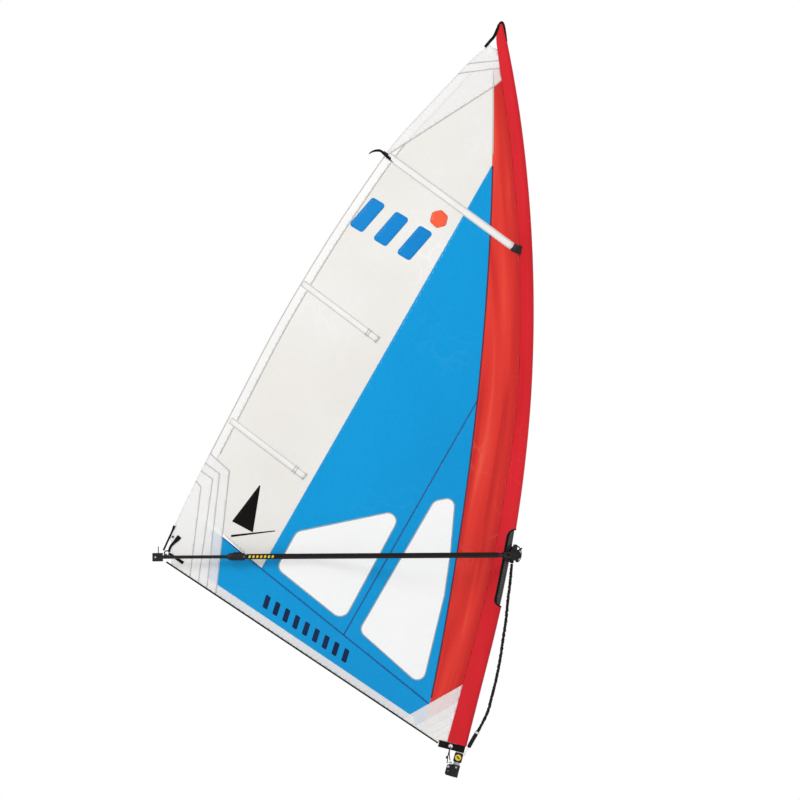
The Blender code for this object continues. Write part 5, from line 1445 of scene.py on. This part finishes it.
def disc(name, centre, radius, thick, body, finish="blackMoulding", groove=0.0,
         tilt=(90.0, 0.0, 0.0), sides=48):
    # A turned disc facing across the rig, with a raised rim round a sunk face.
    cleanSelection()
    bpy.ops.mesh.primitive_cylinder_add(vertices=sides, radius=radius, depth=thick, location=centre,
                                        rotation=[math.radians(t) for t in tilt])
    bpy.ops.object.mode_set(mode="EDIT")
    bpy.ops.mesh.select_mode(type="FACE")
    bpy.ops.mesh.select_all(action="DESELECT")
    bpy.ops.mesh.select_face_by_sides(number=4, type="GREATER")
    if groove:
        bpy.ops.mesh.inset(thickness=groove)
        bpy.ops.mesh.inset(thickness=groove * 0.3, depth=-min(thick * 0.2, groove * 0.6))
    bpy.ops.object.mode_set(mode="OBJECT")
    return settle(name, finish, body)


def block(name, centre, size, body, finish="blackMoulding", tilt=0.0, taper=1.0, bevel=0.0015):
    # A rounded block, narrower at its far end, turned about the axis across the rig.
    cleanSelection()
    bpy.ops.mesh.primitive_cube_add(size=1.0, location=centre, rotation=(0.0, tilt, 0.0))
    bpy.context.object.scale = size
    bpy.ops.object.mode_set(mode="EDIT")
    bpy.ops.mesh.select_mode(type="FACE")
    bpy.ops.mesh.select_all(action="DESELECT")
    bpy.ops.object.mode_set(mode="OBJECT")
    for face in bpy.context.object.data.polygons:
        face.select = face.normal.x < -0.9
    bpy.ops.object.mode_set(mode="EDIT")
    bpy.ops.transform.resize(value=(1.0, taper, taper))
    bpy.ops.mesh.select_all(action="SELECT")
    bpy.ops.mesh.subdivide(number_cuts=1)
    bpy.ops.object.mode_set(mode="OBJECT")
    return settle(name, finish, body, bevel)


trim = {"pivot": (0.38333, 1.3879), "capRadius": 0.036, "button": (0.0306, 0.1202),
        "battenCap": (0.4010, 3.2985)}


def makeTrim():
    x, z = trim["pivot"]
    # The boom's front end, on its pivot.
    disc("frontCap", (x + 0.004, -0.1120, z), trim["capRadius"], 0.012, "boom", groove=0.007)
    disc("frontBoss", (x + 0.004, -0.1200, z), 0.016, 0.008, "boom", groove=0.004)
    block("frontTabHigh", (x + 0.036, -0.1120, z + 0.034), (0.026, 0.010, 0.012), "boom", tilt=math.radians(-35))
    block("frontTabLow", (x + 0.016, -0.1120, z - 0.037), (0.020, 0.010, 0.018), "boom")
    block("frontTabTop", (x + 0.000, -0.1120, z + 0.050), (0.016, 0.010, 0.030), "boom")
    # The button's slot and rim.
    x, z = trim["button"]
    disc("buttonRim", (x, -0.0390, z), 0.0185, 0.0016, "button", "yellowMoulding", groove=0.004)
    block("buttonSlot", (x, -0.0402, z), (0.0075, 0.0012, 0.024), "button", tilt=-mast["lean"] - 0.5, bevel=0.0004)
    # The tail fitting's cleat horn, and its side plates' line.
    disc("tailPin", (-1.8430, -0.0600, 1.4180), 0.0028, 0.046, "boom_tail", tilt=(0.0, 0.0, 0.0), sides=16)
    disc("tailBolt", (-1.8620, -0.0935, 1.3735), 0.006, 0.004, "boom_tail", "brightSteel", groove=0.0015,
         sides=24)
    for side, sign in (("Starboard", -1), ("Port", 1)):
        block("clipHump" + side, (-1.3490, sign * 0.0755, 1.4015), (0.052, 0.030, 0.012), "boom", taper=0.7)
        disc("clipPin" + side, (-1.3096, sign * 0.1005, 1.3770), 0.0050, 0.004, "boom", "brightSteel",
             groove=0.0012, sides=24)
    # Screws in the foot, a knot on its lashing, and the white tape under the hem.
    disc("footScrewAft", (-0.0310, -0.0268, 0.0660), 0.0080, 0.003, "foot", "brightSteel", groove=0.002,
         sides=24)
    disc("footScrewFore", (0.0190, -0.0268, 0.0600), 0.0065, 0.003, "foot", "brightSteel", groove=0.002,
         sides=24)
    block("lashingKnot", (-0.0385, -0.0100, 0.1230), (0.014, 0.012, 0.018), "foot", "blackRope", tilt=0.4,
          bevel=0.004)
    block("hemTape", (0.0420, -0.0200, 0.1520), (0.052, 0.012, 0.0045), "rig", "whiteRope", tilt=0.25,
          bevel=0.001)
    capX, capZ = trim["battenCap"]
    block("battenCapShoe", (capX, sailY(capX, capZ, 3.0) - 0.008, capZ), (0.050, 0.010, 0.060), "rig", tilt=0.30,
          taper=0.62, bevel=0.002)
    disc("strapRing1", (-1.7520, -0.0120, 1.5015), 0.0070, 0.003, "rig",
         groove=0.0025, sides=24)
    print("trim fitted")


makeTrim()


# Ink on the hard pieces: bars on the grip, and a scale on the mast beside the boom.

def inkOn(node, name, centre, size, tilt, slant, finish, body, grid=6):
    # A bar laid on whatever the node shows to starboard, a third of a millimetre proud.
    spin = Matrix.Rotation(tilt, 2)
    points, faces = [], []
    for i in range(grid + 1):
        for j in range(grid + 1):
            across, up = (i / grid - 0.5) * size[0], (j / grid - 0.5) * size[1]
            spot = Vector(centre) + spin @ Vector((across + slant * up, up))
            hit, where, _, _ = nodes[node].ray_cast((spot.x, -1.0, spot.y), (0.0, 1.0, 0.0))
            if not hit:
                return
            points.append((where.x, where.y - 0.0006, where.z))
    for i in range(grid):
        for j in range(grid):
            a = i * (grid + 1) + j
            faces.append((a, a + grid + 1, a + grid + 2, a + 1))
    piece = newPiece(name, meshFrom(name, points, faces), finish)
    thicken(piece, 0.0004)
    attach(piece, body)


ink = {"gripBars": 7, "gripFrom": -1.272, "gripHeight": 1.3765, "gripPitch": 0.024, "gripBar": (0.013, 0.016),
       "gripSlant": 0.3, "ticks": 14, "tickFrom": 1.165, "tickPitch": 0.0165, "tickAhead": 0.004,
       "longTick": (0.018, 0.0022),
       "tick": (0.010, 0.0022), "clampHalf": 0.075}


def makeInk():
    for i in range(ink["gripBars"]):
        centre = (ink["gripFrom"] + ink["gripPitch"] * i, ink["gripHeight"])
        inkOn("grip_starboard", f"gripBar{i + 1}", centre, ink["gripBar"], 0.0, ink["gripSlant"], "printYellow", "boom")
    for i in range(ink["ticks"]):
        s = ink["tickFrom"] + ink["tickPitch"] * i
        if abs(s - boom["station"]) < ink["clampHalf"]:
            continue
        spot = place(s, ink["tickAhead"])
        inkOn("mast_bottom", f"mastTick{i + 1}", (spot.x, spot.z), ink["longTick"] if i % 5 == 0 else ink["tick"],
              -mastAngle(s), 0.0, "greyMoulding", "rig")
    print("ink laid")


makeInk()


# Floor and light.

studio = {"floorZ": -0.0072, "floorSize": 40.0, "sky": 0.585, "aim": (-0.4, 0.0, 2.2),
          "lamps": {"key": ((-4.5, -6.5, 6.5), 3.0, 275.0), "fill": ((5.5, -5.0, 2.5), 4.0, 84.0),
                    "rim": ((3.0, 6.0, 5.0), 4.0, 84.0)}}


def makeStudio():
    bpy.ops.mesh.primitive_plane_add(size=studio["floorSize"], location=(0.0, 0.0, studio["floorZ"]))
    floor = bpy.context.object
    floor.name = "floor"
    paint(floor, "floorPaint")
    world = bpy.data.worlds.new("world")
    bpy.context.scene.world = world
    world.use_nodes = True
    tree = world.node_tree
    background = next(n for n in tree.nodes if n.type == "BACKGROUND")
    path = addNode(tree, "ShaderNodeLightPath")
    level = addNode(tree, "ShaderNodeMapRange", values={1: 0.0, 2: 1.0, 3: studio["sky"], 4: 1.0})
    join(tree, path, "Is Camera Ray", level, 0)
    background.inputs["Color"].default_value = (1.0, 1.0, 1.0, 1.0)
    join(tree, level, 0, background, "Strength")
    for name, (spot, size, power) in studio["lamps"].items():
        lamp = bpy.data.lights.new(name, "AREA")
        lamp.energy, lamp.size = power, size
        holder = bpy.data.objects.new(name, lamp)
        holder.location = spot
        aim = Vector(studio["aim"]) - Vector(spot)
        holder.rotation_euler = aim.to_track_quat("-Z", "Y").to_euler()
        bpy.context.scene.collection.objects.link(holder)
    bpy.context.scene.view_settings.view_transform = "Standard"


makeStudio()
print("studio set")
